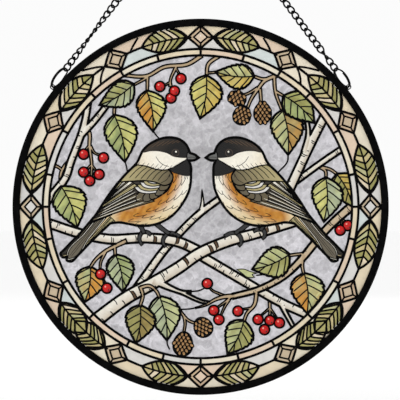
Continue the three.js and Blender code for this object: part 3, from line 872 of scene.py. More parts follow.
def head(area, feather, fade):
    """The cheek, the bib, the cap, the beak and the eye, from back to front, and fine lines over them."""
    area([(-9, 49, 0), (-16.3, 45.8), (-25.2, 40.6), (-32.4, 37.2), (-44.9, 37.6), (-53.8, 40.4),
          (-68, 42.5, 0), (-62, 60, 0), (-30, 60, 0)], fade(CHEEK, WARM_CREAM, (-44, 48), (-68, 40)), 0.5)
    area([(-31.5, 38.2, 0), (-27, 34), (-23.5, 33), (-17, 31.2), (-4, 31.5, 0), (-4, 48.5, 0),
          (-13, 49.5, 0), (-16.3, 45.8), (-25.2, 40.4)], CAP_BLACK, 0.2)
    area([(-8, 50, 0), (-15.4, 49), (-21, 49.3), (-27.9, 50.6), (-32.4, 53.2), (-41.3, 55.6), (-50.2, 55.8),
          (-58, 54.5), (-64, 60, 0), (-45, 74), (-20, 74), (-8, 62)],
         fade(CAP_BLACK, CAP_BROWN, (-32, 56), (-47, 72)), 0.2)
    area([(-13, 54.3, 0), (-9, 55.5), (4, 49), (-9, 45), (-13, 46.2, 0), (-13.8, 50)], BEAK_GREY, 0.4)
    feather([(-13.5, 49.3), (-8, 49.6), (-3, 49.1)], 0.26)
    # the eye: a brown ring, a dark pupil, and a small cream circle that is a painted highlight
    for radius, tint, shift in ((3.9, CAP_BROWN, (0, 0)), (3.2, DARK, (0, 0)), (0.95, CHEEK, (0.6, 1.1))):
        area([tuple(polar(radius, -math.pi * k / 4) + EYE + shift) for k in range(8)], tint)
    feather([(-44.9, 50.5), (-41.3, 45.2), (-36, 41.4), (-31.5, 40.2)], 0.3)
    for k in range(8):
        feather([(-64 + 4.6 * k, 40.5 - 0.45 * k), (-60.5 + 4.6 * k, 44.5 - 0.4 * k)], 0.24)
    for k in range(7):
        feather([(-30.5 + 3 * k, 33.5 - 0.3 * k), (-31.2 + 3 * k, 29.2 - 0.3 * k)], 0.3)
    for k in range(7):
        feather([(-54 + 5 * k, 58.5 + 0.9 * k), (-46 + 5 * k, 64.6 + 0.5 * k)], 0.28, BROWN)


def belly_feathers(feather):
    """Rows of pointed feather tips that follow the flank down to the tail."""
    line = curve(FLANK_LINE, grid=1, spacing=1)
    normals, _ = side_normals(line)
    for row in range(5):
        for k in range(9, len(line) - 5, 13):
            i = k + 6 * (row % 2)
            if i >= len(line) - 1:
                continue
            along = line[i + 1] - line[i]
            tip = line[i] + normals[i] * (1.8 + 4.2 * row)
            long = 11 if row < 3 else 7
            for arm in (tip - along * long + normals[i] * 2.2, tip - along * long * 0.6 - normals[i] * 1.5):
                bow = (arm + tip) / 2 + (arm - tip - 2 * along * np.dot(arm - tip, along)) * 0.12
                feather([tuple(arm), tuple(bow), tuple(tip)], 0.3, BROWN if row == 4 else BLACK)


BERRIES = [
    (-19.6, 128), (-40.6, 120.1), (-29.6, 108.6), (-26.1, 115.6),
    (-116.8, 52.5), (-97, 48.9), (-110.7, 25.9), (-116.8, 34.6), (-101.4, 32.3),
    (-99.8, -67.2), (-93.6, -81.2),
    (6.7, -76.7), (13.2, -103.5), (18.3, -112.7), (37.3, -104.2),
    (57.4, -112.5), (69.2, -113.5), (78.7, -115.9), (63.8, -122.7),
    (147, -18.7), (139.4, -23.4),
]

# Middle, width, height and turn in degrees
CONES = [
    (36.4, 108.6, 18, 14, -15), (61.9, 93.9, 17, 21, 0), (41.4, 91.4, 17, 19, -20),
    (2.4, -120.2, 18, 20, 30), (-17.6, -137, 19, 24, -8),
]

# Foot, tip, width, and the tints at the left of the rib and at its right, as seen with the tip downward
LEAVES = [
    ((-66.7, 122.6), (-101.1, 101.6), 24, OLIVE, GREY_GREEN),
    ((-53.9, 116.2), (-47.6, 75.4), 28, AMBER, YELLOW_GREEN),
    ((-86.4, 92), (-75.6, 44.8), 31, GREEN, YELLOW_GREEN),
    ((5.8, 131.5), (-0.6, 88.2), 31, YELLOW_GREEN, GOLD),
    ((53.6, 130.3), (14.7, 134.8), 24, LIGHT_GREEN, GOLD),
    ((81.7, 97.1), (87.4, 51.8), 31, LIGHT_GREEN, RUSSET),
    ((82.9, 111.1), (113.6, 83.8), 27, GREEN, OLIVE),
    ((136, 33), (152, 0), 28, OLIVE, GOLD),
    ((125, 29.5), (123.1, -14.9), 30, YELLOW_GREEN, GREY_GREEN),
    ((-139.4, 20.6), (-123.4, -20.6), 32, GREEN, YELLOW_GREEN),
    ((-110, -59.5), (-115.8, -95.2), 28, LIGHT_GREEN, AMBER),
    ((-85.2, -47.4), (-77.6, -85), 26, GREY_GREEN, GREEN),
    ((-41.2, -88.9), (-33.6, -133.5), 30, GREY_GREEN, LIGHT_GREEN),
    ((-60.3, -97.8), (-64.8, -136.1), 29, DARK_OLIVE, OLIVE_BROWN),
    ((89, -47.5), (51.5, -62.5), 29, LIGHT_GREEN, OLIVE),
    ((103.4, -65.9), (106.4, -106.7), 32, AMBER, LIGHT_GREEN),
    ((43.4, -113.1), (26.8, -147), 28, LIGHT_GREEN, OLIVE),
]


def draw_back_twigs(picture):
    for course, start, end in (
        ([(-79.4, 131.5), (-52.6, 131), (-37.3, 139.2), (-11.8, 143), (1, 151)], 3, 4),
        ([(-53, 130.5), (-53.3, 116)], 3, 2.4),
        ([(-53.5, 129), (-67, 121.5)], 2.6, 2),
        ([(-24, 141), (-30.5, 125), (-31, 120)], 3, 1.8),
        ([(-31, 124), (-37, 120.5)], 2, 1.6),
        ([(-25, 139), (-19.8, 130)], 2, 1.6),
        ([(-30.4, 126), (-28.8, 117)], 2, 1.6),
        ([(76.5, 131.5), (63.2, 125.2), (58.1, 118.8), (50.4, 107.3), (46.5, 98)], 4, 2.4),
        ([(53, 130.3), (62, 127.5), (76.5, 131)], 2.6, 3.4),
        ([(59.4, 118), (60.8, 101)], 3, 2.4),
        ([(40, 111), (47, 113), (57, 119)], 2, 2.6),
        ([(73.4, 130), (74.7, 115), (81, 97)], 3.2, 2.4),
        ([(75.2, 115), (84, 110)], 3, 2.2),
        ([(6, 131), (7.5, 142), (19, 151)], 3, 3.6),
        ([(6.4, 133.5), (17, 134.6)], 2, 2.2),
        ([(-114, 81), (-110.8, 72), (-111, 62), (-108.8, 42.3), (-109.4, 28)], 3.8, 2),
        ([(-110.5, 62), (-116.5, 55)], 2.2, 1.7),
        ([(-110, 61), (-106, 54), (-99, 51)], 2.2, 1.7),
        ([(-109, 42), (-115, 36)], 2, 1.6),
        ([(-109, 42), (-103, 34)], 2, 1.6),
        ([(-86, 102), (-86.5, 91)], 3, 2.4),
        ([(-128, 48), (-134.5, 42.5), (-139, 35), (-139.8, 19)], 3.2, 2.8),
        ([(-151, 41), (-144, 40.5), (-138.5, 37)], 3, 2.2),
        ([(118, 40), (124.5, 36), (125.2, 28)], 3, 2.4),
        ([(118, 40), (130, 37), (137, 32)], 3, 2.4),
        ([(143.5, -6), (141.5, -14), (140, -19)], 2.2, 1.6),
        ([(142, -13), (146, -16)], 2, 1.6),
        ([(30, -91), (19, -87), (11, -83), (7, -78)], 2.4, 1.6),
        ([(-31, -92), (-21.5, -103), (-12, -113.5), (0, -118)], 2.8, 2.2),
        ([(-17, -108), (-15.5, -116), (-17, -127)], 2.4, 2),
    ):
        twig(picture, course, start, end)


def draw_bud(picture):
    """A small unopened leaf beside the large one at the right."""
    course = [(36, -62.5, 0), (43, -62.3), (49.5, -64.6), (56.5, -66.5, 0), (51.5, -67.7), (54, -70.5, 0),
              (46.5, -70.2), (41.5, -66.5)]
    shape("birch_leaves", curve(course, closed=True), LIGHT_GREEN, 0.36, within=picture)


def draw_front_twigs(picture):
    draw_bud(picture)
    for course, start, end in (
        ([(-74, -34), (-85.8, -39.5), (-94.7, -44.2), (-106.2, -54.4), (-110.5, -61)], 4.2, 2.4),
        ([(-85.8, -40.5), (-85.2, -49)], 3, 2.4),
        ([(-94.7, -44.8), (-99.8, -55.7), (-100.5, -63)], 2.6, 1.8),
        ([(-97, -73), (-94.5, -78)], 1.8, 1.4),
        ([(-60.5, -79.5), (-57.8, -88), (-60.6, -99.5)], 3.4, 2.6),
        ([(-59.5, -80.5), (-51.4, -79), (-43.7, -85), (-41, -91)], 3.4, 2.6),
        ([(88, -48.7), (97, -47.5), (103.5, -47)], 2.4, 2.8),
        ([(103.4, -48), (101.5, -58), (102.9, -67)], 3.4, 2.4),
        ([(56, -84), (53.6, -98), (46, -107), (43.2, -114.5)], 4, 2.4),
        ([(51.5, -101), (41, -102.5)], 2, 1.5),
        ([(34, -89.1), (23, -90), (14, -93), (4.8, -98.2), (-5, -101)], 4.6, 1.2),
        ([(30, -90.5), (24, -95.5), (16, -101)], 2.6, 1.6),
        ([(29, -92), (23.5, -101), (20, -109)], 2.6, 1.6),
        ([(69, -95), (69.3, -109)], 3, 1.8),
        ([(69.2, -101), (60.5, -108.5)], 2, 1.5),
        ([(69.2, -101), (76.5, -111.5)], 2, 1.5),
        ([(69.2, -106), (65, -118)], 2, 1.5),
    ):
        twig(picture, course, start, end)


def draw_branches(picture):
    def spur(course, start_width, end_width):
        branch(picture, course, start_width, end_width, ticks=False, grows=True)

    branch(picture, [(2, -50), (24.9, -63.5), (50.4, -78.5), (78, -94.5), (112, -110)], 8.6, 8)
    spur([(79, -95), (86, -108), (95, -124)], 4.6, 3.4)
    branch(picture, [(-67, -86), (-55, -69), (-36.1, -43.2), (-22, -27.2), (-1.6, -7.2), (20, 9)], 7.8, 6)
    thorn = [(-3, -9, 0), (0.4, 4), (1.4, 17, 0), (3.4, 3), (3.5, -5, 0)]
    shape("branches", curve(thorn, closed=True), BIRCH, TWIG_LINE, picture, stem=stem_at("branches", thorn))
    branch(picture, [(-153, -16), (-120.6, -26.6), (-92.6, -32.2), (-53.6, -31.2), (-22, -35.2),
                     (0, -45)], 8.6, 9.4)
    branch(picture, [(-108, -116), (-73, -90.2), (-47.6, -76.2), (-22, -60.8), (-1.6, -46.8), (24.9, -35.2),
                     (56.8, -26.2), (95, -14.5)], 13, 9)
    spur([(-47, -73.5), (-39, -77), (-30, -81.3), (-17, -85.2), (-10, -84.9)], 8, 1.6)
    spur([(-26, -83), (-17, -86.4), (-11, -89.4), (2, -94.8), (9, -96)], 4, 2.6)
    branch(picture, [(155, 4.5), (124.4, -23.8), (112.9, -37.5), (104.5, -48), (83.4, -69), (59.4, -82),
                     (32, -89.5)], 8, 5, brown=True)
    branch(picture, [(-153, 6), (-144, 17), (-134.5, 30), (-130, 44), (-125, 57), (-119, 73), (-115, 88),
                     (-112, 107)], 7.4, 6)
    branch(picture, [(-120, 71), (-106, 86), (-91, 105)], 6.5, 5, grows=True)
    branch(picture, [(145, 60.5), (120, 43.5), (96, 26)], 5.6, 5.6)
    branch(picture, [(125, 93), (106, 55), (88, 16)], 8.2, 9)
    spur([(103, 54), (107.5, 74), (106, 87)], 5, 3.6)


BACKGROUND_LEADS = [
    [(-47.6, 76), (-44, 71), (-40, 67)],
    [(-75.6, 45.5), (-74, 40), (-73, 33)],
    [(87.4, 52.5), (87, 46), (79, 36), (74, 31)],
    [(-33.6, -133), (-33.2, -137.5), (-31.2, -142)],
    [(-151, -16.5), (-146, -17)],
    [(-23, -102.6), (-10, -101.9), (-3, -100.6)],
    [(64, -67.5), (56, -68.5)],
    [(-12, -85), (0, -83.2), (6, -80)],
]


def background_tint(points):
    """Grey with faint clouds, darker behind the birds."""
    clouds = 0.5 + 0.5 * wander(*points.T, 14)
    behind = np.exp(-((points[:, 0] / 70) ** 2 + ((points[:, 1] - 25) / 60) ** 2))
    return mixed(LILAC_PALE, LILAC_DARK, 0.3 * clouds + 0.75 * behind)


def draw_picture():
    picture = shape("background_panes", circle(TILE_RING_INNER), background_tint, LINE)
    draw_back_twigs(picture)
    draw_branches(picture)
    for leaf in LEAVES:
        birch_leaf(picture, *leaf)
    draw_front_twigs(picture)
    for x, y, width, height, turn in CONES:
        cone(picture, x, y, width, height, turn)
    for x, y in BERRIES:
        berry(picture, x, y)
    for side in (-1, 1):
        bird(picture, side)
    for line in BACKGROUND_LEADS:
        leads.append((curve(line), TWIG_LINE, picture))


def background_spots():
    """A field of points in offset rows, so that large tiles can carry ripples and shades."""
    reach = int(FRAME_INNER / RIPPLE_SPACING)
    found = []
    for row in range(-reach, reach + 1):
        for column in range(-reach, reach + 1):
            x = (column + 0.5 * (row % 2)) * RIPPLE_SPACING + FIELD_SHIFT[0]
            y = row * RIPPLE_SPACING * 0.87 + FIELD_SHIFT[1]
            if math.hypot(x, y) < FRAME_INNER:
                found.append(np.array([x, y]))
    return found


# Resolving the drawing into tiles

TRIANGLES_INSIDE = 1  # the kind of result: triangles within the outlines
SAME_POINT = 1e-4  # points closer than this are one
LEAST_AREA = 1e-7  # of a triangle that is kept, times two


@dataclass
class Mosaic:
    points: np.ndarray
    triangles: np.ndarray
    owners: np.ndarray  # the front shape of each triangle


def resolve(extra):
    """Crosses every outline with every other and finds the front shape of each bit."""
    points, faces = [], []
    for item in shapes:
        faces.append(list(range(len(points), len(points) + len(item.outline))))
        points.extend(item.outline)
    points.extend(extra)
    given = [Vector((float(x), float(y))) for x, y in points]
    found = delaunay_2d_cdt(given, [], faces, TRIANGLES_INSIDE, SAME_POINT)
    flat, triangles, sources = found[0], found[2], found[5]
    kept, owners = [], []
    for triangle, inputs in zip(triangles, sources):
        present = set(inputs)
        owner = max((i for i in present if all(a in present for a in shapes[i].ancestors)), default=-1)
        if owner >= 0 and len(triangle) == 3:
            kept.append(triangle)
            owners.append(owner)
    corners = np.array([[v.x, v.y] for v in flat])
    kept, owners = np.array(kept), np.array(owners)
    a, b, c = (corners[kept[:, k]] for k in range(3))
    area = (b[:, 0] - a[:, 0]) * (c[:, 1] - a[:, 1]) - (b[:, 1] - a[:, 1]) * (c[:, 0] - a[:, 0])
    kept[area < 0] = kept[area < 0][:, ::-1]
    solid = np.abs(area) > LEAST_AREA
    return Mosaic(corners, kept[solid], owners[solid])


def pane_of(index):
    """The shape whose pane of glass a shape belongs to."""
    while shapes[index].painted or shapes[index].stem >= 0:
        index = shapes[index].within if shapes[index].painted else shapes[index].stem
    return index


def seam_between(first, second):
    """Half width of the seam where two shapes meet: that of the front one's outermost free outline."""
    back, front = min(first, second), max(first, second)
    if shapes[front].stem >= 0 and pane_of(front) == pane_of(back):
        return 0.0
    chain = (*shapes[front].ancestors, front)
    shared = {*shapes[back].ancestors, back}
    for index in chain:
        if index not in shared:
            return shapes[index].line
    return 0.0


# Meshes

def place(points, depth):
    """Points of the drawing at a depth in millimetres, as points of the model in metres."""
    depth = np.broadcast_to(depth, len(points))
    return np.stack([points[:, 0], depth, points[:, 1] + CENTRE_Z], axis=1) * MM


def add_piece(name, vertices, faces, material, slot, nodes=(), smooth=True, tints=None):
    """Makes one object from vertices in metres, with an optional colour for each corner."""
    mesh = bpy.data.meshes.new(name)
    mesh.from_pydata([tuple(map(float, v)) for v in vertices], [], [tuple(map(int, f)) for f in faces])
    if tints is not None:
        layer = mesh.color_attributes.new("tint", "FLOAT_COLOR", "CORNER")
        values = np.ones((len(mesh.loops), 4), np.float32)
        values[:, :3] = tints
        layer.data.foreach_set("color", values.ravel())
    mesh.polygons.foreach_set("use_smooth", np.full(len(mesh.polygons), smooth))
    mesh.materials.append(material)
    mesh.update()
    piece = bpy.data.objects.new(name, mesh)
    bpy.context.scene.collection.objects.link(piece)
    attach(piece, "root")
    if nodes:
        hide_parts(*nodes)


def panes(mosaic):
    """Slabs of glass, one per pane, gathered by the object that they belong to."""
    by_pane = {}
    for number, owner in enumerate(mosaic.owners):
        by_pane.setdefault(pane_of(owner), []).append(number)
    gathered = {}
    for pane, numbers in by_pane.items():
        vertices, faces, tints = slab(mosaic, pane, np.array(numbers))
        parts = gathered.setdefault(shapes[pane].piece, ([], [], []))
        offset = sum(len(v) for v in parts[0])
        parts[0].append(vertices)
        parts[1].extend(tuple(i + offset for i in f) for f in faces)
        parts[2].append(tints)
    return {name: (np.concatenate(v), f, np.concatenate(t)) for name, (v, f, t) in gathered.items()}


def slab(mosaic, pane, numbers):
    """One pane as a slab with its rim drawn in under the seams, and a tint for each corner of its faces."""
    triangles = mosaic.triangles[numbers]
    owners = mosaic.owners[numbers]
    used, local = np.unique(triangles, return_inverse=True)
    local = local.reshape(-1, 3)
    points = mosaic.points[used].copy()
    edges = {}
    for t, (a, b, c) in enumerate(local.tolist()):
        for start, end in ((a, b), (b, c), (c, a)):
            edges[(start, end)] = t
    rim = [(e, t) for e, t in edges.items() if (e[1], e[0]) not in edges]
    push = np.zeros_like(points)
    on_rim = np.zeros(len(points), bool)
    for (start, end), _ in rim:
        along = points[end] - points[start]
        normal = left_of(along) / max(np.hypot(*along), 1e-9)
        push[start] += normal
        push[end] += normal
        on_rim[[start, end]] = True
    length = np.maximum(np.hypot(*push.T), 0.6)
    points += push / length[:, None] * GLASS_INSET * on_rim[:, None]
    relief = shapes[pane].relief
    if relief is not None:
        height = relief(points)
    elif shapes[pane].piece == "background_panes":
        ripple = wander(*points.T, 2.3) + 0.6 * wander(*points.T[::-1], 4.1)
        height = RIPPLE_RISE * ripple * ~on_rim
    else:
        height = np.zeros(len(points))
    count = len(points)
    vertices = np.concatenate([place(points, -GLASS_HALF - height), place(points, GLASS_HALF)])
    faces = [tuple(t) for t in local.tolist()]
    faces += [(c + count, b + count, a + count) for a, b, c in local.tolist()]
    faces += [(start, start + count, end + count, end) for (start, end), _ in rim]
    corner_tint = np.zeros((len(triangles), 3, 3))
    for owner in np.unique(owners):
        mine = owners == owner
        tint = shapes[owner].tint
        here = mosaic.points[triangles[mine]].reshape(-1, 2)
        values = tint(here) if callable(tint) else np.broadcast_to(tint, (len(here), 3))
        corner_tint[mine] = values.reshape(-1, 3, 3)
    rim_tints = np.repeat(np.array([corner_tint[t].mean(axis=0) for _, t in rim]).reshape(-1, 3), 4, axis=0)
    tints = np.concatenate([corner_tint.reshape(-1, 3), corner_tint[:, ::-1].reshape(-1, 3), rim_tints])
    return vertices, faces, tints


def seam_lines(mosaic):
    """The visible outlines as lines between junctions: (points, half width, closed), and the junctions."""
    shared = {}
    for number, triangle in enumerate(mosaic.triangles.tolist()):
        for k in range(3):
            edge = tuple(sorted((triangle[k], triangle[(k + 1) % 3])))
            shared.setdefault(edge, []).append(mosaic.owners[number])
    links = {}
    for edge, owners in shared.items():
        if len(owners) != 2 or owners[0] == owners[1]:
            continue
        half = seam_between(*owners)
        if half > 0:
            for start, end in (edge, edge[::-1]):
                links.setdefault(start, {})[end] = half
    lines = []
    junctions = {}
    walked = set()

    def is_end(vertex):
        return len(links[vertex]) != 2 or len(set(links[vertex].values())) > 1

    def walk(start, after):
        path = [start, after]
        half = links[start][after]
        walked.add((start, after))
        walked.add((after, start))
        while not is_end(path[-1]) and path[-1] != start:
            step = next(v for v in links[path[-1]] if v != path[-2])
            walked.add((path[-1], step))
            walked.add((step, path[-1]))
            path.append(step)
        return path, half

    for vertex in links:
        if is_end(vertex):
            junctions[vertex] = max(links[vertex].values())
            for after in links[vertex]:
                if (vertex, after) not in walked:
                    path, half = walk(vertex, after)
                    lines.append((mosaic.points[path], half, False))
    for vertex in links:
        for after in links[vertex]:
            if (vertex, after) not in walked:
                path, half = walk(vertex, after)
                lines.append((mosaic.points[path[:-1]], half, True))
    return lines, [(mosaic.points[v], half) for v, half in junctions.items()]


def visible_runs(points, owner):
    """The stretches of a line where no later shape lies over the shape that carries it."""
    chain = {*shapes[owner].ancestors, owner}
    seen = inside(points, shapes[owner].outline)
    for ancestor in shapes[owner].ancestors:
        seen &= inside(points, shapes[ancestor].outline)
    for index in range(owner + 1, len(shapes)):
        later = shapes[index]
        if index in chain or (later.painted and owner in later.ancestors):
            continue
        if not seen.any():
            break
        hidden = inside(points, later.outline)
        for ancestor in later.ancestors:
            if ancestor not in chain and hidden.any():
                hidden &= inside(points, shapes[ancestor].outline)
        seen &= ~hidden
    runs, start = [], None
    for i, value in enumerate([*seen, False]):
        if value and start is None:
            start = i
        if not value and start is not None:
            if i - start > 1:
                runs.append(slice(start, i))
            start = None
    return runs


BEAD_STEPS = 6
BEAD_WIDTH_RIPPLE = 0.07
BEAD_RISE_RIPPLE = 0.1
BEAD_FULLNESS = 0.8  # power of the half circle. Below 1 the bead is fuller
KNOB_SIZE = 1.08  # radius of a knob, in half widths of its seam
SEAM_SINK = 0.02  # how far the foot of a seam lies below the face of the glass


def skin(sections, closed):
    """Joins rings of vertices, all of one length, into a closed skin of vertices and faces."""
    sections = np.array(sections)
    count, size = sections.shape[:2]
    faces = []
    for i in range(count if closed else count - 1):
        after = (i + 1) % count
        for k in range(size):
            n = (k + 1) % size
            faces.append((i * size + k, i * size + n, after * size + n, after * size + k))
    if not closed:
        faces.append(tuple(range(size - 1, -1, -1)))
        faces.append(tuple((count - 1) * size + k for k in range(size)))
    return sections.reshape(-1, 3), faces


def seam_rise(half):
    """Height of a seam. Fine seams are lower."""
    return SEAM_RISE * min(1.0, 0.35 + 0.65 * half / LINE)


def bead(line, half, closed, front):
    """A rounded seam along a line, on the front or the back of the glass."""
    normals, reach = side_normals(line, closed)
    width = half * (1 + BEAD_WIDTH_RIPPLE * wander(*line.T, 3.0))
    rise = seam_rise(half) * (1 + BEAD_RISE_RIPPLE * wander(*line.T[::-1], 4.0) - BEAD_RISE_RIPPLE)
    way = -1 if front else 1
    rows = []
    for k in range(BEAD_STEPS + 1):
        turn = math.pi * k / BEAD_STEPS
        across, height = math.cos(turn), math.sin(turn) ** BEAD_FULLNESS
        points = line + normals * (width * across * reach)[:, None]
        rows.append(place(points, way * (GLASS_HALF - SEAM_SINK + rise * height)))
    sections = np.stack(rows, axis=1)
    return skin(sections[:, ::-1] if front else sections, closed)


def knob(point, half, front):
    """A low dome of solder over a junction."""
    sides, rings = 8, 2
    radius = half * KNOB_SIZE
    base, rise = GLASS_HALF - SEAM_SINK, seam_rise(half)
    points, depths = [], []
    for ring in range(rings):
        turn = math.pi / 2 * ring / rings
        points += [point + polar(radius * math.cos(turn), angle) for angle in full_turn(sides)]
        depths += [base + rise * math.sin(turn)] * sides
    points.append(point)
    depths.append(base + rise * 1.02)
    vertices = place(np.array(points), (-1 if front else 1) * np.array(depths))
    top = (rings - 1) * sides
    faces = [(k, (k + 1) % sides, (k + 1) % sides + sides, k + sides) for k in range(top)]
    faces += [(top + k, top + (k + 1) % sides, rings * sides) for k in range(sides)]
    faces.append(tuple(range(sides - 1, -1, -1)))
    return vertices, faces if front else [f[::-1] for f in faces]


def gather(parts):
    vertices, faces, offset = [], [], 0
    for points, polygons in parts:
        vertices.append(points)
        faces.extend(tuple(i + offset for i in f) for f in polygons)
        offset += len(points)
    return np.concatenate(vertices), faces


def ribbon(line, half):
    """A painted line: a thin, low ridge that ends in points."""
    normals, _ = side_normals(line)
    out = normals * half[:, None]
    left, right = (place(line + out * way, SEAM_SINK - GLASS_HALF) for way in (1, -1))
    return skin(np.stack([left, place(line, -GLASS_HALF - PAINT), right], axis=1), False)


# Materials

def nodes_of(name):
    material = bpy.data.materials.new(name)
    material.use_nodes = True
    tree = material.node_tree
    return material, tree, tree.nodes["Principled BSDF"]


def fill(tree, node, inputs):
    """Sets a node's inputs, by a link where the value is another node's output."""
    for key, value in inputs.items():
        if isinstance(value, bpy.types.NodeSocket):
            tree.links.new(value, node.inputs[key])
        else:
            node.inputs[key].default_value = value


def add(tree, kind, output, inputs, **settings):
    """Adds a shader node and gives one of its outputs."""
    node = tree.nodes.new("ShaderNode" + kind)
    for key, value in settings.items():
        setattr(node, key, value)
    fill(tree, node, inputs)
    return node.outputs[output]


def noise(tree, scale, detail=3.0, roughness=0.55, distortion=0.0):
    return add(tree, "TexNoise", "Fac", {
        "Vector": add(tree, "TexCoord", "Object", {}), "Scale": scale, "Detail": detail,
        "Roughness": roughness, "Distortion": distortion,
    })


def ramp(tree, source, low, high, start=0.0, end=1.0):
    """Maps a value onto a span between two numbers."""
    return add(tree, "MapRange", "Result", {
        "From Min": start, "From Max": end, "To Min": low, "To Max": high, "Value": source,
    })


def scaled(tree, tint, factor):
    """A colour made lighter or darker by a value."""
    return add(tree, "VectorMath", "Vector", {0: tint, "Scale": factor}, operation="SCALE")


def mixture(tree, first, second, factor):
    """A colour between two others."""
    inputs = {"A": (*first, 1), "B": (*second, 1), "Factor": factor}
    return add(tree, "Mix", "Result", inputs, data_type="RGBA")


def bump(tree, shader, source, distance, strength=1.0):
    inputs = {"Distance": distance, "Strength": strength, "Height": source}
    fill(tree, shader, {"Normal": add(tree, "Bump", "Normal", inputs)})


def glass(name, roughness, transmission, streak, streak_scale, ripple, ripple_scale):
    """Opalescent glass in the tile's own tint, with streaks in its colour and a rippled face."""
    material, tree, shader = nodes_of(name)
    tint = add(tree, "Attribute", "Color", {}, attribute_name="tint")
    light = ramp(tree, noise(tree, streak_scale, 4, 0.6, 1.2), 1 - streak, 1 + streak, 0.3, 0.7)
    fill(tree, shader, {
        "Base Color": scaled(tree, tint, light), "Roughness": roughness, "Transmission Weight": transmission,
        "IOR": GLASS_IOR, "Specular IOR Level": 0.25,
    })
    bump(tree, shader, noise(tree, ripple_scale, 2, 0.5, 0.6), ripple)
    return material


def crackled_glass(name):
    """Grey glass with a crystalline texture, light and dark facets like frost."""
    material, tree, shader = nodes_of(name)
    tint = add(tree, "Attribute", "Color", {}, attribute_name="tint")
    where = add(tree, "TexCoord", "Object", {})
    warp = add(tree, "TexNoise", "Color", {"Scale": 110, "Detail": 3, "Vector": where})
    bent = add(tree, "VectorMath", "Vector", {0: warp, 1: (0.014,) * 3, 2: where}, operation="MULTIPLY_ADD")
    facet = add(tree, "TexVoronoi", "Color", {"Scale": 210, "Vector": bent})
    distance = facet.node.outputs["Distance"]
    light = scaled(tree, tint, ramp(tree, add(tree, "SeparateColor", "Red", {"Color": facet}), 0.81, 1.13))
    light = scaled(tree, light, ramp(tree, distance, 0.88, 1.12, 0.1, 0.7))
    light = scaled(tree, light, ramp(tree, noise(tree, 420, 4, 0.65, 1.0), 0.90, 1.09, 0.3, 0.7))
    fill(tree, shader, {
        "Base Color": light, "Roughness": 0.2, "Transmission Weight": 0.3, "IOR": GLASS_IOR,
    })
    bump(tree, shader, distance, 0.0009, 0.9)
    return material


def blackened(name, base, roughness, grain):
    """Metal under a black finish, a little uneven in shade and polish."""
    material, tree, shader = nodes_of(name)
    value = noise(tree, grain, 4, 0.6)
    worn = [min(1.0, c * 2.2 + 0.002) for c in base]
    fill(tree, shader, {
        "Base Color": mixture(tree, base, worn, ramp(tree, value, 0, 1, 0.45, 0.8)),
        "Roughness": ramp(tree, value, roughness - 0.08, roughness + 0.12), "Specular IOR Level": 0.025,
    })
    bump(tree, shader, value, 0.00006)
    return material


def paint(name, base, spread):
    """Fired glass paint, slightly mottled."""
    material, tree, shader = nodes_of(name)
    mottled = mixture(tree, base, [min(1.0, c * spread) for c in base], noise(tree, 900, 3))
    fill(tree, shader, {"Base Color": mottled, "Roughness": 0.6, "Specular IOR Level": 0.1})
    return material


GLASS_IOR = 1.5
# Name, roughness, transmission, strength and scale of the streaks, height and scale of the ripples
tile_glass = glass("tile_glass", 0.16, 0.25, 0.07, 70, 0.00012, 300)
leaf_glass = glass("leaf_glass", 0.18, 0.25, 0.13, 110, 0.00014, 260)
wood_glass = glass("wood_glass", 0.2, 0.2, 0.07, 200, 0.0001, 400)
feather_glass = glass("feather_glass", 0.24, 0.12, 0.08, 260, 0.00008, 500)
berry_glass = glass("berry_glass", 0.08, 0.2, 0.06, 300, 0.00002, 300)
cone_glass = glass("cone_glass", 0.25, 0.15, 0.12, 500, 0.00006, 600)
background_glass = crackled_glass("background_glass")
seam_metal = blackened("seam_metal", (0.0012, 0.0012, 0.0013), 0.4, 400)
frame_metal = blackened("frame_metal", (0.0011, 0.0011, 0.0012), 0.36, 180)
chain_metal = blackened("chain_metal", (0.003, 0.003, 0.0033), 0.32, 900)
PAINTS = {
    BLACK: paint(BLACK, (0.003, 0.0027, 0.0025), 1.8),
    BROWN: paint(BROWN, colour(0.30, 0.23, 0.17), 1.5),
    WHITE: paint(WHITE, CHEEK, 1.05),
}

# Each object of glass: its material, its slot and the nodes that it stands for
GLASS_PIECES = {
    "border_tiles": (tile_glass, "cream_glass", ("border_glass",)),
    "border_leaves": (leaf_glass, "cream_glass", ("border_glass",)),
    "diamonds": (tile_glass, "peach_glass", ("border_glass",)),
    "ring_tiles": (tile_glass, "peach_glass", ("tile_ring_glass",)),
    "background_panes": (background_glass, "lilac_glass", ("background_glass",)),
    "birch_leaves": (leaf_glass, "lilac_glass", ("background_glass",)),
    "branches": (wood_glass, "cream_glass", ("background_glass",)),
    "twigs": (wood_glass, "cream_glass", ("background_glass",)),
    "cones": (cone_glass, "bird_glass", ("background_glass",)),
    "berries": (berry_glass, "bird_glass", ("background_glass",)),
    "birds_feet": (feather_glass, "bird_glass", ("background_glass",)),
    "left_bird": (feather_glass, "bird_glass", ("left_bird_glass",)),
    "right_bird": (feather_glass, "bird_glass", ("right_bird_glass",)),
}


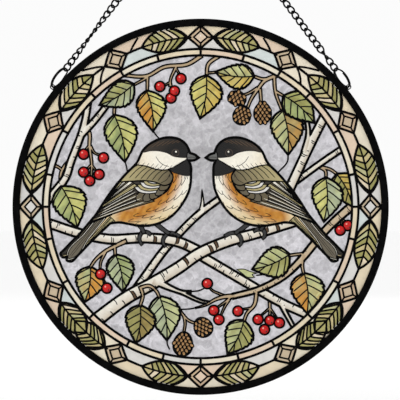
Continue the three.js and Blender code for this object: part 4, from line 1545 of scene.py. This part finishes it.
def make_panel():
    draw_border()
    draw_tile_ring()
    draw_picture()
    mosaic = resolve([*spots, *background_spots()])
    for name, (vertices, faces, tints) in panes(mosaic).items():
        material, slot, nodes = GLASS_PIECES[name]
        add_piece(name, vertices, faces, material, slot, nodes, smooth=name == "berries", tints=tints)
    lines, junctions = seam_lines(mosaic)
    for points, half, owner in leads:
        for run in visible_runs(points, owner):
            lines.append((points[run], half, False))
            junctions += [(points[run][0], half), (points[run][-1], half)]
    for front, name in ((True, "front_seams"), (False, "back_seams")):
        least = 0 if front else RIB_LINE
        parts = [bead(points, half, closed, front) for points, half, closed in lines if half >= least]
        parts += [knob(point, half, front) for point, half in junctions if half >= least]
        add_piece(name, *gather(parts), seam_metal, "seam_metal", ("seam_net",))
    painted = {}
    for points, half, paint_name, owner in strokes:
        for run in visible_runs(points, owner):
            painted.setdefault(paint_name, []).append(ribbon(points[run], half[run]))
    for name, parts in painted.items():
        add_piece(name, *gather(parts), PAINTS[name], "seam_metal", smooth=False)


# Metal around and above the glass

def revolved(profile, sides):
    """A closed profile of [radius, y] points turned about the panel's own direction."""
    turns = full_turn(sides)
    return skin([[(r * math.sin(t), y, r * math.cos(t)) for r, y in profile] for t in turns], True)


def rounded_corner(radius, y, radius_way, y_way, size, steps=4):
    """An arc that rounds a corner of a profile, from its face in y to its face in radius."""
    x, z = radius - radius_way * size, y - y_way * size
    turns = [math.pi / 2 * k / steps for k in range(steps + 1)]
    return [(x + radius_way * size * math.sin(t), z + y_way * size * math.cos(t)) for t in turns]


LUG_ANGLE = math.radians(51)
LUG_REACH = 2.2
LUG_THICKNESS = 1.6
LUG_HOLE = 1.36
LUG_WALL = 0.8
LUG_EASE = 0.2  # how far its edges are eased
FRAME_LIP = 0.5  # how far the frame's inner edges are rounded
SLOT_PLAY = 0.06  # between the glass and each side of its slot


def lug(side):
    """A tab with a round hole, its edges eased."""
    outward = polar(1, side * LUG_ANGLE)
    along = np.array([outward[1], -outward[0]])
    centre = outward * (PANEL_RADIUS + LUG_REACH)
    radius = LUG_HOLE + LUG_WALL
    half = LUG_THICKNESS / 2
    sections = []
    for turn in full_turn(32):
        direction = along * math.cos(turn) + outward * math.sin(turn)
        inner, outer = centre + direction * LUG_HOLE, centre + direction * radius
        if math.sin(turn) < 0:
            outer = centre + along * radius * math.cos(turn) + outward * (LUG_REACH + 1) * math.sin(turn)
        ease = (outer - inner) / np.hypot(*(outer - inner)) * LUG_EASE
        low = half - LUG_EASE
        ring = [(inner + ease, -half), (inner, -low), (inner, low), (inner + ease, half),
                (outer - ease, half), (outer, low), (outer, -low), (outer - ease, -half)]
        sections.append([(p[0], y, p[1]) for p, y in ring])
    return skin(sections, True)


def make_frame():
    """The channel around the glass, with a slot for its edge, and the two lugs."""
    slot = GLASS_HALF + SLOT_PLAY
    floor = BORDER_GLASS_RADIUS + FIT_GAP
    half = FRAME_HALF_DEPTH
    profile = [
        *rounded_corner(FRAME_INNER, -half, -1, -1, FRAME_LIP, 3)[::-1],
        *rounded_corner(PANEL_RADIUS, -half, 1, -1, FRAME_ROUNDING),
        *rounded_corner(PANEL_RADIUS, half, 1, 1, FRAME_ROUNDING)[::-1],
        *rounded_corner(FRAME_INNER, half, -1, 1, FRAME_LIP, 3),
        (FRAME_INNER, slot), (floor, slot), (floor, -slot), (FRAME_INNER, -slot),
    ]
    vertices, faces = gather([revolved(profile, 288), lug(-1), lug(1)])
    vertices = (vertices + np.array([0, 0, CENTRE_Z])) * MM
    add_piece("frame_channel", vertices, faces, frame_metal, "frame_metal", ("outer_frame",))


SPLIT_RING_RADIUS = 9.2
SPLIT_RING_TILT = math.radians(15)
SPLIT_WIRE_WIDTH = 1.9
SPLIT_WIRE_HEIGHT = 1.25
SPLIT_RING_STEPS = 120
SPLIT_RAMP_HALF = math.radians(22)  # half of the stretch where the wire crosses over
SPLIT_RAMP_PLACE = 0.9  # where on the ring that is, in radians from the chain's side
TOP_RING_WIRE = 2
TOP_RING_RADIUS = (ring_high.x - ring_low.x) / 2 / MM - TOP_RING_WIRE / 2
TOP_CENTRE = np.array([0, 0, TOP_RING_WIRE / 2 - TOP_RING_RADIUS])
CHAIN_WIRE = 1.45
LINK_HALF_WIDTH = 2.5
LINK_PITCH = 5.85
LINK_CURL = math.radians(42)
LINK_SIDES = 28
WIRE_SIDES = 8
SIDE_NAMES = {-1: "left", 1: "right"}


def unit(vector):
    return vector / np.linalg.norm(vector)


def turned(vector, axis, angle):
    """A vector turned about a unit axis."""
    return (
        vector * math.cos(angle) + np.cross(axis, vector) * math.sin(angle)
        + axis * np.dot(axis, vector) * (1 - math.cos(angle))
    )


def smooth_step(share):
    """Goes from 0 to 1 and stays there, without a kink."""
    share = min(1, max(0, share))
    return share * share * (3 - 2 * share)


def run_line(side):
    """A chain run's lower end, its length, its direction and the way outward from it."""
    hole = polar(PANEL_RADIUS + LUG_REACH, side * LUG_ANGLE)
    low = np.array([hole[0], 0, hole[1] + CENTRE_Z])
    along = unit(TOP_CENTRE - low)
    outward = np.array([side * along[2], 0, -side * along[0]])
    return low, np.linalg.norm(TOP_CENTRE - low), along, outward


def wire(path, frames, section, closed):
    """A wire of a given section along a path. Each frame holds the two directions across it."""
    sections = []
    for point, (first, second) in zip(path, frames):
        sections.append([point + first * a + second * b for a, b in section])
    return skin(sections, closed)


def round_section(radius, sides=WIRE_SIDES):
    return [(radius * math.cos(t), radius * math.sin(t)) for t in full_turn(sides)]


def split_ring(side):
    """Two turns of flat wire side by side, crossing from one to the other over a short ramp."""
    low, _, along, outward = run_line(side)
    axis = turned(outward, along, side * SPLIT_RING_TILT)
    centre = low + along * SPLIT_RING_RADIUS
    across = np.cross(axis, along)
    strand = SPLIT_WIRE_WIDTH / 2
    start, end = SPLIT_RAMP_HALF, 4 * math.pi - SPLIT_RAMP_HALF
    path, frames = [], []
    for k in range(SPLIT_RING_STEPS + 1):
        angle = start + (end - start) * k / SPLIT_RING_STEPS
        ramp = (angle - 2 * math.pi + SPLIT_RAMP_HALF) / (2 * SPLIT_RAMP_HALF)
        shift = strand * (smooth_step(ramp) - 0.5)
        turn = angle + SPLIT_RAMP_PLACE
        direction = along * math.cos(turn) + across * math.sin(turn)
        path.append(centre + direction * SPLIT_RING_RADIUS + axis * shift)
        frames.append((direction, axis))
    a, b = SPLIT_WIRE_HEIGHT / 2, strand / 2 * 0.94
    ease = 0.14
    section = [(a - ease, b), (-a + ease, b), (-a, b - ease), (-a, -b + ease),
               (-a + ease, -b), (a - ease, -b), (a, -b + ease), (a, b - ease)]
    vertices, faces = wire(path, frames, section, False)
    name = f"{SIDE_NAMES[side]}_split_ring"
    add_piece(f"{name}_wire", vertices * MM, faces, chain_metal, "chain_metal", (name,), smooth=False)


def link_twist(side, share):
    """How far the chain has turned about itself at a share of its run from the bottom."""
    if side < 0:
        return math.radians(20) + 2 * math.pi * 1.15 * share
    return math.radians(12) + math.pi * smooth_step((share - 0.02) / 0.12) + 0.5 * share


def chain(side):
    """Curb links from the split ring to the top ring, each one curled about the run."""
    low, length, along, outward = run_line(side)
    start = 2 * SPLIT_RING_RADIUS - SPLIT_WIRE_HEIGHT / 2 - CHAIN_WIRE
    run = length - start - TOP_RING_RADIUS + TOP_RING_WIRE / 2 + CHAIN_WIRE * 0.6
    count = round(run / LINK_PITCH) - 1
    pitch = (run - CHAIN_WIRE) / (count + CHAIN_WIRE / LINK_PITCH)
    half = (pitch + CHAIN_WIRE) / 2
    parts = []
    for i in range(count + 1):
        reach = start + CHAIN_WIRE / 2 + half + (i - 0.08) * (run - CHAIN_WIRE - 2 * half) / count
        centre = low + along * reach
        flat = link_twist(side, i / count)
        path, frames = [], []
        for t in full_turn(LINK_SIDES):
            across = turned(outward, along, flat + LINK_CURL * math.cos(t))
            path.append(centre + along * half * math.cos(t) + across * LINK_HALF_WIDTH * math.sin(t))
            normal = unit(along * math.cos(t) / half + across * math.sin(t) / LINK_HALF_WIDTH)
            frames.append((normal, np.cross(along, across)))
        parts.append(wire(path, frames, round_section(CHAIN_WIRE / 2), True))
    vertices, faces = gather(parts)
    name = f"{SIDE_NAMES[side]}_chain"
    add_piece(f"{name}_links", vertices * MM, faces, chain_metal, "chain_metal", (name,))


def top_ring():
    directions = [np.array([math.sin(angle), 0, math.cos(angle)]) for angle in full_turn(72)]
    path = [TOP_CENTRE + direction * TOP_RING_RADIUS for direction in directions]
    frames = [(direction, np.array([0.0, 1.0, 0.0])) for direction in directions]
    vertices, faces = wire(path, frames, round_section(TOP_RING_WIRE / 2, 16), True)
    add_piece("top_ring_wire", vertices * MM, faces, chain_metal, "chain_metal", ("top_ring",))


# Stage, light and camera

CAMERA_HEIGHT = -0.2595
CAMERA_SIDE = -0.0005
VIEW_WIDTH = 0.3248  # width of the panel's plane that the photograph shows, in metres
LENS = 135
SENSOR = 36
FLOOR_Z = -0.47
FLOOR_RADIUS = 9.0
WORLD_STRENGTH = 0.97
LIGHT_POWER = 3  # watts


def make_floor():
    """A wide disc. Its middle is finer than its edge."""
    sides = 96
    rings = [0.4, 1.0, 2.0, 4.0, FLOOR_RADIUS]
    vertices = [(0, 0, FLOOR_Z)]
    for radius in rings:
        vertices += [(radius * math.cos(t), radius * math.sin(t), FLOOR_Z) for t in full_turn(sides)]
    faces = [(0, 1 + k, 1 + (k + 1) % sides) for k in range(sides)]
    for a in range(1, 1 + (len(rings) - 1) * sides, sides):
        b = a + sides
        faces += [(a + k, b + k, b + (k + 1) % sides, a + (k + 1) % sides) for k in range(sides)]
    material, tree, shader = nodes_of("pale_floor")
    pale = mixture(tree, (0.97, 0.97, 0.97), (0.98, 0.98, 0.98), noise(tree, 3))
    fill(tree, shader, {"Base Color": pale, "Roughness": 0.9, "Specular IOR Level": 0.1})
    mesh = bpy.data.meshes.new("floor")
    mesh.from_pydata(vertices, [], faces)
    mesh.materials.append(material)
    floor = bpy.data.objects.new("floor", mesh)
    bpy.context.scene.collection.objects.link(floor)


def area_light(name, place_at, aim, size, power):
    data = bpy.data.lights.new(name, "AREA")
    data.shape = "DISK"
    data.size = size
    data.energy = power
    light = bpy.data.objects.new(name, data)
    bpy.context.scene.collection.objects.link(light)
    light.location = place_at
    light.rotation_euler = (Vector(aim) - Vector(place_at)).to_track_quat("-Z", "Y").to_euler()


def make_light():
    world = bpy.data.worlds.new("studio")
    world.use_nodes = True
    sky = world.node_tree.nodes["Background"]
    sky.inputs["Color"].default_value = (1, 1, 1, 1)
    sky.inputs["Strength"].default_value = WORLD_STRENGTH
    bpy.context.scene.world = world
    bpy.context.scene.view_settings.view_transform = "Standard"
    middle = (0, 0, CENTRE_Z * MM)
    area_light("key", (-0.9, -1.5, 0.7), middle, 0.8, LIGHT_POWER)
    area_light("back", (0.3, 1.6, 0.6), middle, 1.4, LIGHT_POWER)


def make_camera():
    data = bpy.data.cameras.new("camera")
    data.lens = LENS
    data.sensor_width = SENSOR
    camera = bpy.data.objects.new("camera", data)
    bpy.context.scene.collection.objects.link(camera)
    distance = VIEW_WIDTH * LENS / SENSOR
    camera.location = (CAMERA_SIDE, -distance, CAMERA_HEIGHT)
    camera.rotation_euler = (math.pi / 2, 0, 0)
    bpy.context.scene.camera = camera


make_camera()
make_light()
make_floor()
make_panel()
make_frame()
for side in (-1, 1):
    split_ring(side)
    chain(side)
top_ring()

bpy.context.view_layer.update()
